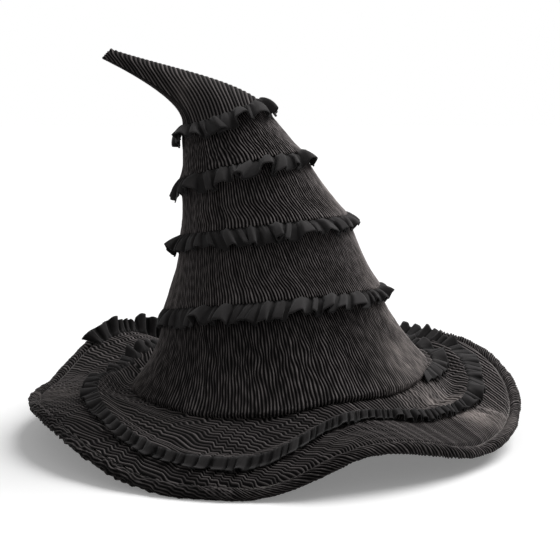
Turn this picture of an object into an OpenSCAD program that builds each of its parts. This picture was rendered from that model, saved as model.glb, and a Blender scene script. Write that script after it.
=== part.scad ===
// Witch hat: a pleated cloth crown in five pieces with ruffled seams, on a wired, waved brim.
// Millimetres. X to the right, Y away from the viewer, Z up; the brim's middle is at the origin
// and the brim's lowest waves stand on z = 0.

/* [Head opening] */
// Inside diameter of the sweatband
opening_d = 186; // [176:1:192]
// Height of the sweatband
sweatband_h = 32; // [22:1:36]
// Thickness of the sweatband
sweatband_t = 1.2; // [0.8:0.1:1.6]

/* [Cloth] */
// Thickness of the pleated cover, pleats included
cover_t = 2; // [1.4:0.1:2.6]
// Thickness of the crown's stiffening felt
stiffener_t = 2; // [1:0.1:2.4]
// Thickness of the lining
lining_t = 0.8; // [0.5:0.1:1.2]
// Thickness of the stiffening sheet in the brim
core_t = 2; // [1:0.1:3]
// Thickness of the cloth under the brim
under_t = 1.4; // [0.8:0.1:2]
// Thickness of a ruffle, two layers of cloth folded over
ruffle_t = 1.2; // [0.8:0.1:1.6]
// Room left between two pieces that are sewn together
fit = 0.4; // [0.3:0.05:0.6]

/* [Crown seams] */
// Height of the brim seam above the table
seam_z = 44; // [40:1:50]
// Outer radius of the flared foot of the crown
foot_r = 125; // [119:1:132]
// How much further the foot flares to the right than to the left
foot_shift = 4; // [0:0.5:6]
// Height of the roll at the foot of the crown
foot_h = 7; // [4:0.5:10]
// How much higher the foot lies at its right than at its front
foot_rise = 9; // [0:0.5:10]
// How quickly the foot flares: more is a sharper flare
foot_flare = 1.65; // [1.4:0.05:2]
// Height from the brim seam to the lowest ruffle
base_tier_h = 69; // [62:1:80]
// Height from the lowest ruffle to the next
lower_tier_h = 62; // [52:1:72]
// Height from the second ruffle to the third
middle_tier_h = 51; // [44:1:60]
// Height from the third ruffle to the top ruffle
upper_tier_h = 44; // [40:1:52]
// Crown radius at the lowest ruffle
lower_r = 92; // [89:1:97]
// Crown radius at the second ruffle
middle_r = 70; // [66:1:76]
// Crown radius at the third ruffle
upper_r = 52; // [48:1:56]
// Crown radius at the top ruffle
tip_r = 34; // [31:1:37]
// Sideways lean to the left over the base tier
base_lean = 3; // [0:0.5:6]
// Sideways lean over the lower tier
lower_lean = 6; // [0:0.5:10]
// Sideways lean over the middle tier
middle_lean = 19; // [8:0.5:22]
// Sideways lean over the upper tier
upper_lean = 17; // [8:0.5:20]
// Tilt of the lowest ruffle, right side up
lower_tilt = 7; // [0:0.5:9]
// Tilt of the second ruffle
middle_tilt = 8; // [4:0.5:12]
// Tilt of the third ruffle
upper_tilt = 13.5; // [8:0.5:17]
// Tilt of the top ruffle
tip_tilt = 19; // [14:0.5:22]
// How far the lowest ruffle rises round its front
lower_front = 12; // [0:1:13]
// How far the second ruffle rises round its front
middle_front = 8; // [0:1:9]
// How far the third ruffle rises round its front
upper_front = 5; // [0:1:6]
// How far round to the left of the front the ruffles lie highest
front_turn = 12; // [0:1:20]
// How far a tier's wall draws in between its seams
tier_sag = 1.2; // [0:0.1:2]

/* [Tip] */
// How far the tip reaches to the left of its seam
tip_reach = 94; // [80:1:104]
// How far the tip rises above its seam
tip_rise = 50; // [44:1:60]
// Radius of the blunt end
tip_end_r = 5; // [4:0.5:7]
// Tilt of the cloth at the blunt end
tip_end_tilt = 42; // [34:1:50]
// How quickly the tip narrows
tip_taper = 1.3; // [1.1:0.05:1.6]
// Radius of the wire inside the tip
tip_wire_r = 1; // [0.7:0.1:1.2]

/* [Brim] */
// Radius to the middle of the rolled hem
edge_r = 204.5; // [200:0.5:216]
// Radius of the rolled hem
hem_r = 5; // [4.6:0.1:6]
// Radius of the brim wire
brim_wire_r = 1.5; // [1:0.1:2]
// How the brim falls from the seam: 1 is straight
brim_curve = 1.15; // [1:0.05:1.4]
// Depth of the flats on which the hem stands
flat = 0.5; // [0.3:0.1:0.8]
// Rise of the hem at the front right
front_right_rise = 30; // [20:1:36]
// Rise of the hem in the dip at the right
right_dip = 13; // [8:1:20]
// Rise of the hem at the back right
back_right_rise = 55; // [44:1:60]
// Rise of the hem at the back left
back_left_rise = 56; // [44:1:60]
// Rise of the hem in the dip at the left
left_dip = 26; // [18:1:34]
// Rise of the hem at the front left
left_rise = 32; // [24:1:38]

/* [Ruffles] */
// Width of a crown ruffle, seam to free edge
ruffle_w = 17; // [12:1:20]
// How steeply a crown ruffle hangs below its seam
ruffle_drop = 36; // [24:1:42]
// How far the flutes of a crown ruffle swing
ruffle_wave = 2.6; // [1:0.1:3.2]
// Flutes round the lowest ruffle
lower_flutes = 36; // [28:1:40]
// Flutes round the second ruffle
middle_flutes = 30; // [24:1:34]
// Flutes round the third ruffle
upper_flutes = 23; // [18:1:28]
// Flutes round the top ruffle
tip_flutes = 15; // [11:1:18]
// Width of the brim ruffle
brim_ruffle_w = 16; // [11:1:18]
// How far the brim ruffle stands up from the brim
brim_ruffle_lift = 20; // [16:1:28]
// How far the flutes of the brim ruffle swing
brim_ruffle_wave = 2; // [1:0.1:2.6]
// Flutes along the brim ruffle
brim_flutes = 80; // [70:1:92]

/* [Hidden] */

// Facets round the crown and brim, and round the tip
seg = 48;
tip_seg = 24;
$fn = 96;

// The layers at the head opening, each outside the last
opening_r = opening_d / 2;
lining_r = opening_r + sweatband_t + fit;
stiffener_r = lining_r + lining_t + fit;
seam_r = stiffener_r + stiffener_t + fit;
// Top and underside of the brim above and below its middle sheet
brim_up = core_t / 2 + fit + cover_t;
brim_down = core_t / 2 + fit + under_t;
// Where the brim's layers end, against the mouth of the hem
brim_end_r = edge_r - hem_r * cos(30) - fit;
// Half the gap that a ruffle's sewn edge takes in a crown seam
seam_gap = ruffle_t / 2 + fit;
// How far the felt and the lining lie inside the cover's outer face
felt_in = cover_t + 3 * fit;
lining_in = felt_in + stiffener_t + fit;
// Share of the lower tier's height that the lining covers
lining_reach = 0.55;

// Each seam: sideways place, height, radius, tilt
lower_seam = [-base_lean, seam_z + base_tier_h, lower_r, lower_tilt];
middle_seam = [lower_seam[0] - lower_lean, lower_seam[1] + lower_tier_h, middle_r, middle_tilt];
upper_seam = [middle_seam[0] - middle_lean, middle_seam[1] + middle_tier_h, upper_r, upper_tilt];
tip_seam = [upper_seam[0] - upper_lean, upper_seam[1] + upper_tier_h, tip_r, tip_tilt];
// The seams in order, and the share of the tier above that each rises by round its front
seams = [lower_seam, middle_seam, upper_seam, tip_seam];
rises = [lower_front / lower_tier_h, middle_front / middle_tier_h, upper_front / upper_tier_h, 0];
// How far beyond the foot the brim still follows the foot's rise
foot_reach = 25;
// The tip's foot is a ball inside the top seam, so that it can turn there
ball_r = tip_r - cover_t - fit;

// Angle round the brim and height of the hem there, front lobe to front lobe
waves = [[252, 0], [265, 0], [294, front_right_rise], [324, right_dip], [400, back_right_rise],
    [435, 0], [465, 0], [500, back_left_rise], [530, left_dip], [562, left_rise], [612, 0]];
// Angle round the brim and share of the open brim that the ruffle's seam has crossed there
ruffle_path = [[342, 0], [378, 0.17], [516, 0.13], [612, 0.74], [660, 0.3], [712, 0.52], [872, 0.9]];
// Heights at which the base tier is measured, foot to lowest ruffle, and the layers inside it
base_levels = [0, 0.2, 0.45, 0.75, 1];
inside_levels = [0.45, 0.75, 1];

function mix(p, q, v) = p + (q - p) * v;
function ease(v) = (1 - cos(180 * v)) / 2;

// Value at a along a list of [angle, value], eased between its entries
function along(list, a) = [for (i = [0:len(list) - 2])
    if (a >= list[i][0] && a <= list[i + 1][0])
        mix(list[i][1], list[i + 1][1], ease((a - list[i][0]) / (list[i + 1][0] - list[i][0])))][0];

// Height of the hem's underside, straight from facet to facet, and of the brim's middle sheet
function wave_z(j) = along(waves, 252 + (j * 360 / seg - 252 + 720) % 360) - flat;
function hem_z(a) = let (j = floor(a * seg / 360)) mix(wave_z(j), wave_z(j + 1), a * seg / 360 - j);
function brim_z(r, a) = mix(seam_z, hem_z(a) + hem_r,
    pow(max(0, (r - seam_r) / (edge_r - seam_r)), brim_curve))
    + foot_tilt(a) * max(0, min((r - seam_r) / (foot_r - seam_r), 1 - (r - foot_r) / foot_reach));
function foot_tilt(a) = foot_rise * cos(a);

// Point at angle a on a tilted ring about [x, z], h along the ring's own axis
function on_ring(x, z, r, tilt, a, h) =
    [x + r * cos(a) * cos(tilt) - h * sin(tilt), r * sin(a), z + r * cos(a) * sin(tilt) + h * cos(tilt)];

// The crown's wall at a place p up it, counted in tiers from the lowest ruffle: a seam's values
function wall_at(p) = let (i = min(floor(p), 2), v = p - i)
    mix(seams[i], seams[i + 1], v) - [0, 0, 4 * tier_sag * v * (1 - v), 0];
// How much of its rise a seam has at angle a
function front(a) = max(0, -sin(a + front_turn));
// Point at angle a on the wall, v up tier i, out from the wall and h along the ring's own axis
function on_wall(i, v, a, out, h) =
    let (s = wall_at(i + v + mix(rises[i], v > 0 ? rises[i + 1] : 0, v) * front(a)))
    on_ring(s[0], s[1], s[2] + out, s[3], a, h);
// One ring of tier i: v up the tier, inset from its face, h along the axis
function tier_ring(i, v, inset, h) = [for (j = [0:seg - 1]) on_wall(i, v, j * 360 / seg, -inset, h)];

// Radius of the base tier's cover, and the height of its foot were that level
function base_r(v, a) = lower_r + (foot_r + foot_shift * cos(a) - lower_r) * pow(1 - v, foot_flare);
function foot_z(a) = brim_z(foot_r, a) - foot_tilt(a) + brim_up + foot_h;

// Point on a layer of the base tier, never further out than the limit
function base_point(v, a, inset, limit, h) = on_ring(lower_seam[0] * max(0, 2 * v - 1),
    mix(foot_z(a), lower_seam[1], v), min(base_r(v, a) - inset, limit), lower_tilt * v, a, h);
function base_ring(v, inset, limit, h) =
    [for (j = [0:seg - 1]) base_point(v, j * 360 / seg, inset, limit, h)];
// Ring of the base tier's cover: its foot is tilted, and it is drawn up to the lowest ruffle
function cover_ring(v, inset, h) = [for (j = [0:seg - 1])
    let (a = j * 360 / seg, z = mix(foot_z(a), lower_seam[1] + lower_front * front(a), v) + foot_tilt(a) * pow(1 - v, 3),
        up = wall_at(max(0, z - lower_seam[1]) / lower_tier_h) - lower_seam)
    on_ring(lower_seam[0] * max(0, 2 * v - 1) + up[0], z, base_r(v, a) - inset + up[2], lower_tilt * v + up[3], a, h)];

// Level ring of radius r at height z
function flat_ring(r, z) = [for (j = [0:seg - 1]) [r * cos(j * 360 / seg), r * sin(j * 360 / seg), z]];

// Radius of the crown's foot where it rests, and a ring v of the way from there to the brim's end
function rest_r(a) = foot_r + foot_shift * cos(a) - cover_t;
function brim_ring(v, up) = [for (j = [0:seg - 1])
    let (a = j * 360 / seg, r = mix(rest_r(a), brim_end_r, v)) [r * cos(a), r * sin(a), brim_z(r, a) + up]];

// Line of the tip, its tilt and its radius: v from the seam to the blunt end
function tip_mid(v) = [tip_seam[0], tip_seam[1]]
    + 3 * v * (1 - v) * (1 - v) * [-0.1 * tip_reach, 0.32 * tip_rise]
    + 3 * v * v * (1 - v) * [-0.46 * tip_reach, 0.6 * tip_rise]
    + v * v * v * [-tip_reach, tip_rise];
function tip_lean(v) = mix(tip_tilt, tip_end_tilt, v);
function tip_rad(v) = tip_end_r + (ball_r - tip_end_r) * pow(1 - v, tip_taper);
function tip_ring(v, inset) = let (m = tip_mid(v))
    [for (j = [0:tip_seg - 1]) on_ring(m[0], m[1], tip_rad(v) - inset, tip_lean(v), j * 360 / tip_seg, 0)];
function ball_ring(lat, inset) = let (r = ball_r - inset)
    [for (j = [0:tip_seg - 1]) on_ring(tip_seam[0], tip_seam[1], r * cos(lat), tip_tilt,
        j * 360 / tip_seg, r * sin(lat))];

// Solid through a list of rings with the same number of points; a loop joins last to first.
// The half that runs back down is split the other way, so that faces in layers stay parallel.
module loft(rings, loop) {
    n = len(rings[0]);
    m = len(rings);
    last = loop ? m - 1 : m - 2;
    sides = [for (i = [0:last], j = [0:n - 1])
        let (a = i * n + j, b = i * n + (j + 1) % n, k = (i + 1) % m, d = k * n + j, c = k * n + (j + 1) % n)
        each (i < m / 2 - 0.5) == loop ? [[a, d, c], [a, c, b]] : [[a, d, b], [b, d, c]]];
    ends = loop ? [] : [[for (j = [0:n - 1]) j], [for (j = [n - 1:-1:0]) (m - 1) * n + j]];
    polyhedron(points = [for (ring = rings) each ring], faces = concat(sides, ends), convexity = 10);
}

// Shell of a tier between two crown seams
module tier(i) {
    outer = [tier_ring(i, 0, 0, seam_gap), tier_ring(i, 0.5, 0, 0), tier_ring(i, 1, 0, -seam_gap)];
    inner = [tier_ring(i, 1, cover_t, -seam_gap), tier_ring(i, 0.5, cover_t, 0), tier_ring(i, 0, cover_t, seam_gap)];
    loft(concat(outer, inner), true);
}

// Ring of a fluted ruffle at seam i: out along the cloth, up across it, a share of the full wave
function ruffle_ring(i, flutes, out, up, share) = [for (j = [0:4 * flutes - 1])
    let (w = up + share * ruffle_wave * sin(90 * j))
    on_wall(i, 0, j * 90 / flutes, 1 + out * cos(ruffle_drop) + w * sin(ruffle_drop),
        w * cos(ruffle_drop) - out * sin(ruffle_drop))];
function sewn_ring(i, flutes, inset, up) = [for (j = [0:4 * flutes - 1])
    on_wall(i, 0, j * 90 / flutes, -inset, up)];

// Ruffle round crown seam i, its inner edge sewn into the seam
module ruffle(i, flutes) {
    half = ruffle_t / 2;
    loft([sewn_ring(i, flutes, cover_t, -half), sewn_ring(i, flutes, -1, -half),
        ruffle_ring(i, flutes, ruffle_w, -half, 1), ruffle_ring(i, flutes, ruffle_w, half, 1),
        sewn_ring(i, flutes, -1, half), sewn_ring(i, flutes, cover_t, half)], true);
}

// Layer of the brim between two heights about its middle sheet
module brim_layer(low, high) {
    under = [for (v = [0, 0.33, 0.67, 1]) brim_ring(v, low)];
    over = [for (v = [1, 0.67, 0.33, 0]) brim_ring(v, high)];
    loft(concat([flat_ring(seam_r, seam_z + low)], under, over, [flat_ring(seam_r, seam_z + high)]), true);
}

// Ring along the hem: r from the hem's middle at angle b in its section
function hem_ring(r, b) = brim_shift_ring(edge_r + r * cos(b), r * sin(b));
function brim_shift_ring(r, up) = [for (j = [0:seg - 1]) let (a = j * 360 / seg)
    [r * cos(a), r * sin(a), hem_z(a) + hem_r + up]];

// Section of the brim ruffle at share s of its length, as four points
function brim_ruffle_section(s, wave) =
    let (a = mix(ruffle_path[0][0], ruffle_path[len(ruffle_path) - 1][0], s),
        r0 = mix(foot_r + foot_shift + 1, edge_r - hem_r, along(ruffle_path, a)),
        w = brim_ruffle_w * min(1, 0.25 + s * 20, 0.2 + (1 - s) * 12),
        r1 = r0 + w * cos(brim_ruffle_lift),
        z0 = brim_z(r0, a) + brim_up + 2 * fit,
        z1 = max(z0, brim_z(r1, a) + brim_up + 2 * fit) + w * sin(brim_ruffle_lift)
            + wave * brim_ruffle_wave * w / brim_ruffle_w)
    [[r0 * cos(a), r0 * sin(a), z0], [r0 * cos(a), r0 * sin(a), z0 + ruffle_t],
        [r1 * cos(a), r1 * sin(a), z1 + ruffle_t], [r1 * cos(a), r1 * sin(a), z1]];

module sweatband() {
    color([0.10, 0.09, 0.09])
    translate([0, 0, seam_z - brim_down])
    difference() {
        cylinder(r = opening_r + sweatband_t, h = sweatband_h);
        translate([0, 0, -1])
        cylinder(r = opening_r, h = sweatband_h + 2);
    }
}

// Side of the lining, from the opening into the lower tier
module crown_lining() {
    wall = lining_r + lining_t;
    foot = seam_z - brim_down;
    outer = concat([flat_ring(wall, foot)], [for (v = inside_levels) base_ring(v, lining_in, wall, 0)],
        [felt_ring(lower_seam, middle_seam, lining_reach, lining_in)]);
    inner = concat([flat_ring(lining_r, foot)],
        [for (v = inside_levels) base_ring(v, lining_in + lining_t, lining_r, 0)],
        [felt_ring(lower_seam, middle_seam, lining_reach, lining_in + lining_t)]);
    color([0.16, 0.14, 0.13])
    loft(concat(outer, [for (i = [4:-1:0]) inner[i]]), true);
}

// Round top of the lining, laid on the upper edge of its side
module lining_top() {
    s = mix(lower_seam, middle_seam, lining_reach);
    color([0.16, 0.14, 0.13])
    translate([s[0], 0, s[1]])
    rotate([0, -s[3], 0])
    translate([0, 0, fit / 2])
    cylinder(r = s[2] - tier_sag - lining_in - 2 * fit, h = lining_t);
}

// Stiffening felt: one shell inside the cover, from the opening to under the tip
module crown_stiffener() {
    wall = stiffener_r + stiffener_t;
    foot = seam_z - brim_down;
    outer = concat([flat_ring(wall, foot)], [for (v = inside_levels) base_ring(v, felt_in, wall, 0)],
        felt_rings(felt_in));
    inner = concat([flat_ring(stiffener_r, foot)],
        [for (v = inside_levels) base_ring(v, felt_in + stiffener_t, stiffener_r, 0)],
        felt_rings(felt_in + stiffener_t));
    color([0.22, 0.21, 0.20])
    loft(concat(outer, [for (i = [len(inner) - 1:-1:0]) inner[i]]), true);
}
function felt_ring(lo, hi, v, inset) = let (s = mix(lo, hi, v))
    [for (j = [0:seg - 1]) on_ring(s[0], s[1], s[2] - 4 * tier_sag * v * (1 - v) - inset - fit, s[3],
        j * 360 / seg, 0)];
function felt_rings(inset) = [felt_ring(lower_seam, middle_seam, 0.5, inset),
    felt_ring(lower_seam, middle_seam, 1, inset), felt_ring(middle_seam, upper_seam, 0.5, inset),
    felt_ring(middle_seam, upper_seam, 1, inset)];

// Flared foot of the crown: its edge rolls under and runs in to the brim seam
module base_tier() {
    outer = [for (v = base_levels) cover_ring(v, 0, v == 1 ? -seam_gap : 0)];
    inner = [for (v = base_levels) cover_ring(v, cover_t, v == 1 ? -seam_gap : 0)];
    rest = brim_up + fit;
    color([0.13, 0.12, 0.12])
    loft(concat([flat_ring(seam_r + fit, seam_z + rest), brim_ring(0, rest)], outer,
        [for (i = [4:-1:0]) inner[i]],
        [brim_ring(-0.03, rest + cover_t), flat_ring(seam_r + fit, seam_z + rest + cover_t)]), true);
}

module lower_tier() {
    color([0.12, 0.11, 0.11])
    tier(0);
}

module middle_tier() {
    color([0.13, 0.12, 0.12])
    tier(1);
}

module upper_tier() {
    color([0.12, 0.11, 0.11])
    tier(2);
}

// Tip: bent over to the left, its foot tucked into the top seam
module tip_cone() {
    steps = [0.06, 0.14, 0.24, 0.36, 0.5, 0.64, 0.78, 0.9, 1];
    outer = [for (v = steps) tip_ring(v, 0)];
    inner = [for (i = [len(steps) - 2:-1:0]) tip_ring(steps[i], cover_t)];
    skirt = [ball_ring(-22, 0), ball_ring(-11, 0), ball_ring(0, 0)];
    skirt_in = [ball_ring(0, cover_t), ball_ring(-11, cover_t), ball_ring(-22, cover_t)];
    color([0.13, 0.12, 0.12])
    loft(concat([tip_ring(0.95, cover_t)], inner, skirt_in, skirt, outer), false);
}

// Wire along the inside of the bend, from the tip's foot to its end
module tip_wire() {
    steps = [0.02, 0.1, 0.2, 0.32, 0.46, 0.6, 0.74, 0.86];
    deep = cover_t + tip_wire_r + fit;
    color([0.55, 0.55, 0.56])
    loft([for (v = steps) wire_ring(v, deep)], false);
}
function wire_mid(v, deep) = let (m = tip_mid(v))
    on_ring(m[0], m[1], tip_rad(v) - deep, tip_lean(v), 180, 0);
function wire_ring(v, deep) =
    let (p = wire_mid(v, deep), d = wire_mid(v + 0.02, deep) - wire_mid(v - 0.02, deep),
        n = [d[2], 0, -d[0]] / norm(d))
    [for (j = [0:7]) p + tip_wire_r * cos(j * 45) * n + [0, tip_wire_r * sin(j * 45), 0]];

module lower_ruffle() {
    color([0.20, 0.19, 0.19])
    ruffle(0, lower_flutes);
}

module middle_ruffle() {
    color([0.20, 0.19, 0.19])
    ruffle(1, middle_flutes);
}

module upper_ruffle() {
    color([0.20, 0.19, 0.19])
    ruffle(2, upper_flutes);
}

module tip_ruffle() {
    color([0.20, 0.19, 0.19])
    ruffle(3, tip_flutes);
}

module brim_cover() {
    color([0.13, 0.12, 0.12])
    brim_layer(core_t / 2 + fit, brim_up);
}

module brim_core() {
    color([0.30, 0.29, 0.28])
    brim_layer(-core_t / 2, core_t / 2);
}

module brim_underside() {
    color([0.10, 0.09, 0.09])
    brim_layer(-brim_down, -core_t / 2 - fit);
}

// Hem: cloth rolled round the wire, open towards the brim, cut flat where it stands
module brim_hem() {
    outer = [for (b = [-150:60:150]) hem_ring(hem_r, b)];
    inner = [for (b = [130:-65:-130]) hem_ring((brim_wire_r + fit) / cos(32.5), b)];
    color([0.12, 0.11, 0.11])
    difference() {
        loft(concat(outer, inner), true);
        translate([-300, -300, -50])
        cube([600, 600, 50]);
    }
}

module brim_wire() {
    color([0.55, 0.55, 0.56])
    loft([for (b = [0:60:300]) hem_ring(brim_wire_r, b)], true);
}

// Ruffle in one spiral over the brim, from the foot of the crown out to the back edge
module brim_ruffle() {
    n = 3 * brim_flutes;
    color([0.20, 0.19, 0.19])
    loft([for (i = [0:n]) brim_ruffle_section(i / n, sin(120 * i))], false);
}

sweatband();
crown_lining();
lining_top();
crown_stiffener();
base_tier();
lower_tier();
middle_tier();
upper_tier();
tip_cone();
tip_wire();
lower_ruffle();
middle_ruffle();
upper_ruffle();
tip_ruffle();
brim_cover();
brim_core();
brim_underside();
brim_hem();
brim_wire();
brim_ruffle();
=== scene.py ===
"""Witch hat of crinkle-pleated black cloth: its surfaces, studio and camera.

Lengths are in millimetres until a mesh is written, which is in metres. Angles in tables are in
degrees. X runs to the right of the view, Y away from it and Z up from the table.
"""

import logging
import math
from dataclasses import dataclass
from enum import Enum
from typing import Callable

import bmesh
import bpy
import numpy as np
from mathutils import Euler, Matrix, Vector


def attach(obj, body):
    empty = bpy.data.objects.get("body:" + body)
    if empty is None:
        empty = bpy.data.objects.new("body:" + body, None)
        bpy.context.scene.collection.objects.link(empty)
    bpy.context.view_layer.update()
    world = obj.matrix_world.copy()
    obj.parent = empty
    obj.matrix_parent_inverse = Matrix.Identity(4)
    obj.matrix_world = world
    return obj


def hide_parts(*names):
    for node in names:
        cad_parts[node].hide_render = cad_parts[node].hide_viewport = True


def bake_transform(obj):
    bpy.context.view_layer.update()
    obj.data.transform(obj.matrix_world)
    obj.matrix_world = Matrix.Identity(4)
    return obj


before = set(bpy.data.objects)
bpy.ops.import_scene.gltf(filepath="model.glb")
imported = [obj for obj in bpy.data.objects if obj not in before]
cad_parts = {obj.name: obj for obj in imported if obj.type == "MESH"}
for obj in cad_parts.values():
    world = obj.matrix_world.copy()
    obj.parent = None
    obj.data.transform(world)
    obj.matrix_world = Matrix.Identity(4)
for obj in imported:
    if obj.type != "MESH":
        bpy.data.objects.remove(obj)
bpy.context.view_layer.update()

Array = np.ndarray
Colour = tuple[float, float, float, float]
Table = tuple[tuple[float, float], ...]
Piece = bpy.types.Object
Material = bpy.types.Material
Node = bpy.types.Node
Socket = bpy.types.NodeSocket
Input = float | Colour | Socket
Inputs = dict[str | int, Input]

LOG = logging.getLogger("witch_hat")
MM = 0.001
TAU = 2 * math.pi
# Metres within which points of a grid are joined.
JOIN = 2e-6
# Flat cloth in one pleat, and along one degree of the brim.
PLEAT_CLOTH = 5.0
DEGREE_CLOTH = 3.0
# Angle at the front left where the brim's pleats run out over the hem, in degrees.
RUN_OUT = 222.0


class Body(Enum):
    """Bodies of the hat that move on their own."""

    CROWN = "crown"
    TIP = "tip"


class Slot(Enum):
    """Cloths and other stuffs that the hat is made of."""

    PLEATED = "pleated_cloth"
    RUFFLE = "ruffle_cloth"
    LINING = "lining_cloth"
    UNDER = "under_cloth"
    FELT = "felt"
    TAPE = "band_tape"
    CORE = "core_sheet"
    WIRE = "wire"


class Facing(Enum):
    """Side on which a piece of cloth shows its right side."""

    OUT = 1
    IN = -1
    UP = 2
    DOWN = -2


class Held(Enum):
    """How a sheet of cloth is held on the hat."""

    GATHERED = "gathered"
    FOLDED = "folded"
    STRETCHED = "stretched"
    LAID = "laid"


def mix(first: Array, second: Array, share: Array) -> Array:
    """Return the value a share of the way from the first to the second."""
    return first + (second - first) * share


def smooth(value: Array) -> Array:
    """Return 0 below 0, 1 above 1 and a soft rise between."""
    held = np.clip(value, 0.0, 1.0)
    return held * held * (3 - 2 * held)


def eased(table: Table, at: Array) -> Array:
    """Read a table of places and values, eased between its entries.

    Args:
        table: places in rising order, each with its value.
        at: places to read.

    Returns:
        The value at each place.
    """
    places, values = np.array(table, float).T
    entry = np.clip(np.searchsorted(places, at, side="right") - 1, 0, len(places) - 2)
    share = np.clip((at - places[entry]) / (places[entry + 1] - places[entry]), 0, 1)
    return mix(values[entry], values[entry + 1], (1 - np.cos(np.pi * share)) / 2)


def ring(x: Array, z: Array, radius: Array, tilt: Array, angle: Array, rise: Array) -> Array:
    """Place points on rings that tilt about the Y axis.

    Args:
        x: sideways place of each ring's middle.
        z: height of each ring's middle.
        radius: radius of each point from the middle.
        tilt: tilt of each ring in degrees, right side up.
        angle: angle of each point round its ring, in radians.
        rise: distance along the ring's own axis.

    Returns:
        One row of X, Y and Z for each point.
    """
    lean = np.radians(tilt)
    out = radius * np.cos(angle)
    return np.stack(
        np.broadcast_arrays(
            x + out * np.cos(lean) - rise * np.sin(lean),
            radius * np.sin(angle),
            z + out * np.sin(lean) + rise * np.cos(lean),
        ),
        axis=-1,
    )


def polar(radius: Array, angle: Array, z: Array) -> Array:
    """Return X, Y and Z of points at a radius, an angle in radians and a height."""
    return np.stack((radius * np.cos(angle), radius * np.sin(angle), z), axis=-1)


def on_cloth(along: Array, across: Array) -> Array:
    """Return the places of points on the flat cloth."""
    return np.stack((along, across), axis=-1)


def hill(value: Array, middle: float, width: float) -> Array:
    """Return 1 at the middle and a soft fall to 0 on both sides of it."""
    return np.exp(-(((value - middle) / width) ** 2))


@dataclass(frozen=True)
class Drift:
    """Smooth unevenness that closes on itself round the hat.

    Attributes:
        seed: start of the random draw.
        fewest: fewest waves round the hat.
        most: most waves round the hat.
        climb: most waves across the cloth.
        waves: waves that are added up.
    """

    seed: int
    fewest: int
    most: int
    climb: float
    waves: int = 7

    def at(self, angle: Array, share: Array) -> Array:
        """Give the unevenness.

        Args:
            angle: angle round the hat in radians.
            share: share of the way across the cloth.

        Returns:
            The unevenness at each point, about -1 to 1.
        """
        draw = np.random.default_rng(self.seed)
        total = np.zeros(np.broadcast(angle, share).shape)
        for _ in range(self.waves):
            turns = draw.integers(self.fewest, self.most + 1)
            total += np.sin(
                turns * angle
                + TAU * draw.uniform(-self.climb, self.climb) * share
                + draw.uniform(0, TAU)
            )
        return total / math.sqrt(self.waves)


@dataclass(frozen=True)
class Rub:
    """A place where the cloth is worn smooth and pale: the paleness is partly a painted sheen.

    Attributes:
        middle: X, Y and Z of the place.
        reach: distance over which it fades, along X, Y and Z.
        strength: 0 none to 1 full.
    """

    middle: tuple[float, float, float]
    reach: tuple[float, float, float]
    strength: float

    def at(self, place: Array) -> Array:
        """Return how worn each point is, which also sets its painted sheen."""
        off = (place - np.array(self.middle)) / np.array(self.reach)
        return self.strength * np.exp(-np.sum(off * off, axis=-1))


# Places on the crown and the brim that are worn most, where the pleats flatten and a painted sheen goes.
RUBS_AND_SHEEN = (
    Rub((108, -38, 72), (26, 62, 30), 1.0),
    Rub((84, -30, 140), (16, 50, 34), 0.55),
    Rub((48, -24, 205), (13, 40, 24), 0.45),
    Rub((-178, -28, 42), (26, 30, 20), 0.65),
    Rub((176, -70, 28), (24, 24, 18), 0.8),
    Rub((142, -66, 38), (28, 24, 18), 0.9),
    Rub((-112, -32, 62), (14, 44, 22), 0.45),
    Rub((-74, -8, 288), (11, 26, 14), 0.5),
    Rub((-84, -26, 150), (12, 34, 34), 0.4),
)
# Painted light on the pleated cloth: angle round the hat in degrees, and how much lighter or darker the
# cloth is painted there, about 0, lighter on the lit right side and darker on the shaded front and left.
BRIM_PAINTED_LIGHT = (
    (0, 2.6), (60, 0.6), (150, -1.5), (200, -2.8), (270, -3.4), (310, -1.7), (340, 1.9), (360, 2.6),
)
CROWN_PAINTED_LIGHT = ((0, 2.4), (90, 0), (180, -0.6), (270, -0.2), (310, 0.5), (335, 1.7), (360, 2.4))


def rubbed_and_sheen(place: Array) -> Array:
    """Return how worn the cloth is at each point, 0 to 1; the same places get a painted sheen."""
    return np.clip(sum(rub.at(place) for rub in RUBS_AND_SHEEN), 0, 1)


@dataclass
class Shape:
    """Where the points of a cloth grid go, and how each looks.

    Attributes:
        place: X, Y and Z of each point.
        cloth: place of each point on the flat cloth.
        ridge: 0 in a pleat's valley to 1 on its ridge, setting painted shade and highlight; on ruffles,
            painted shade in the folds.
        tone: lighter or darker thread at random, about 0, with painted light and shade added on.
    """

    place: Array
    cloth: Array
    ridge: Array
    tone: Array

    @classmethod
    def plain(cls, place: Array, cloth: Array) -> "Shape":
        """Return a shape without pleats, in one tone."""
        return cls(place, cloth, np.ones(len(place)), np.zeros(len(place)))


def turn_to(mesh: bpy.types.Mesh, facing: Facing) -> None:
    """Turn the faces of a mesh so that most of them face the given side.

    Args:
        mesh: the mesh to turn.
        facing: the side that its right side faces.
    """
    count = len(mesh.polygons)
    normal, middle, area = np.empty(count * 3), np.empty(count * 3), np.empty(count)
    mesh.polygons.foreach_get("normal", normal)
    mesh.polygons.foreach_get("center", middle)
    mesh.polygons.foreach_get("area", area)
    middle = middle.reshape(-1, 3)
    if facing in (Facing.UP, Facing.DOWN):
        aim = np.array((0.0, 0.0, 1.0))
    else:
        aim = (middle - middle.mean(axis=0)) * (1, 1, 0)
    score = float(np.sum(area * np.sum(normal.reshape(-1, 3) * aim, axis=1)))
    if score * facing.value < 0:
        mesh.flip_normals()


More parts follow.
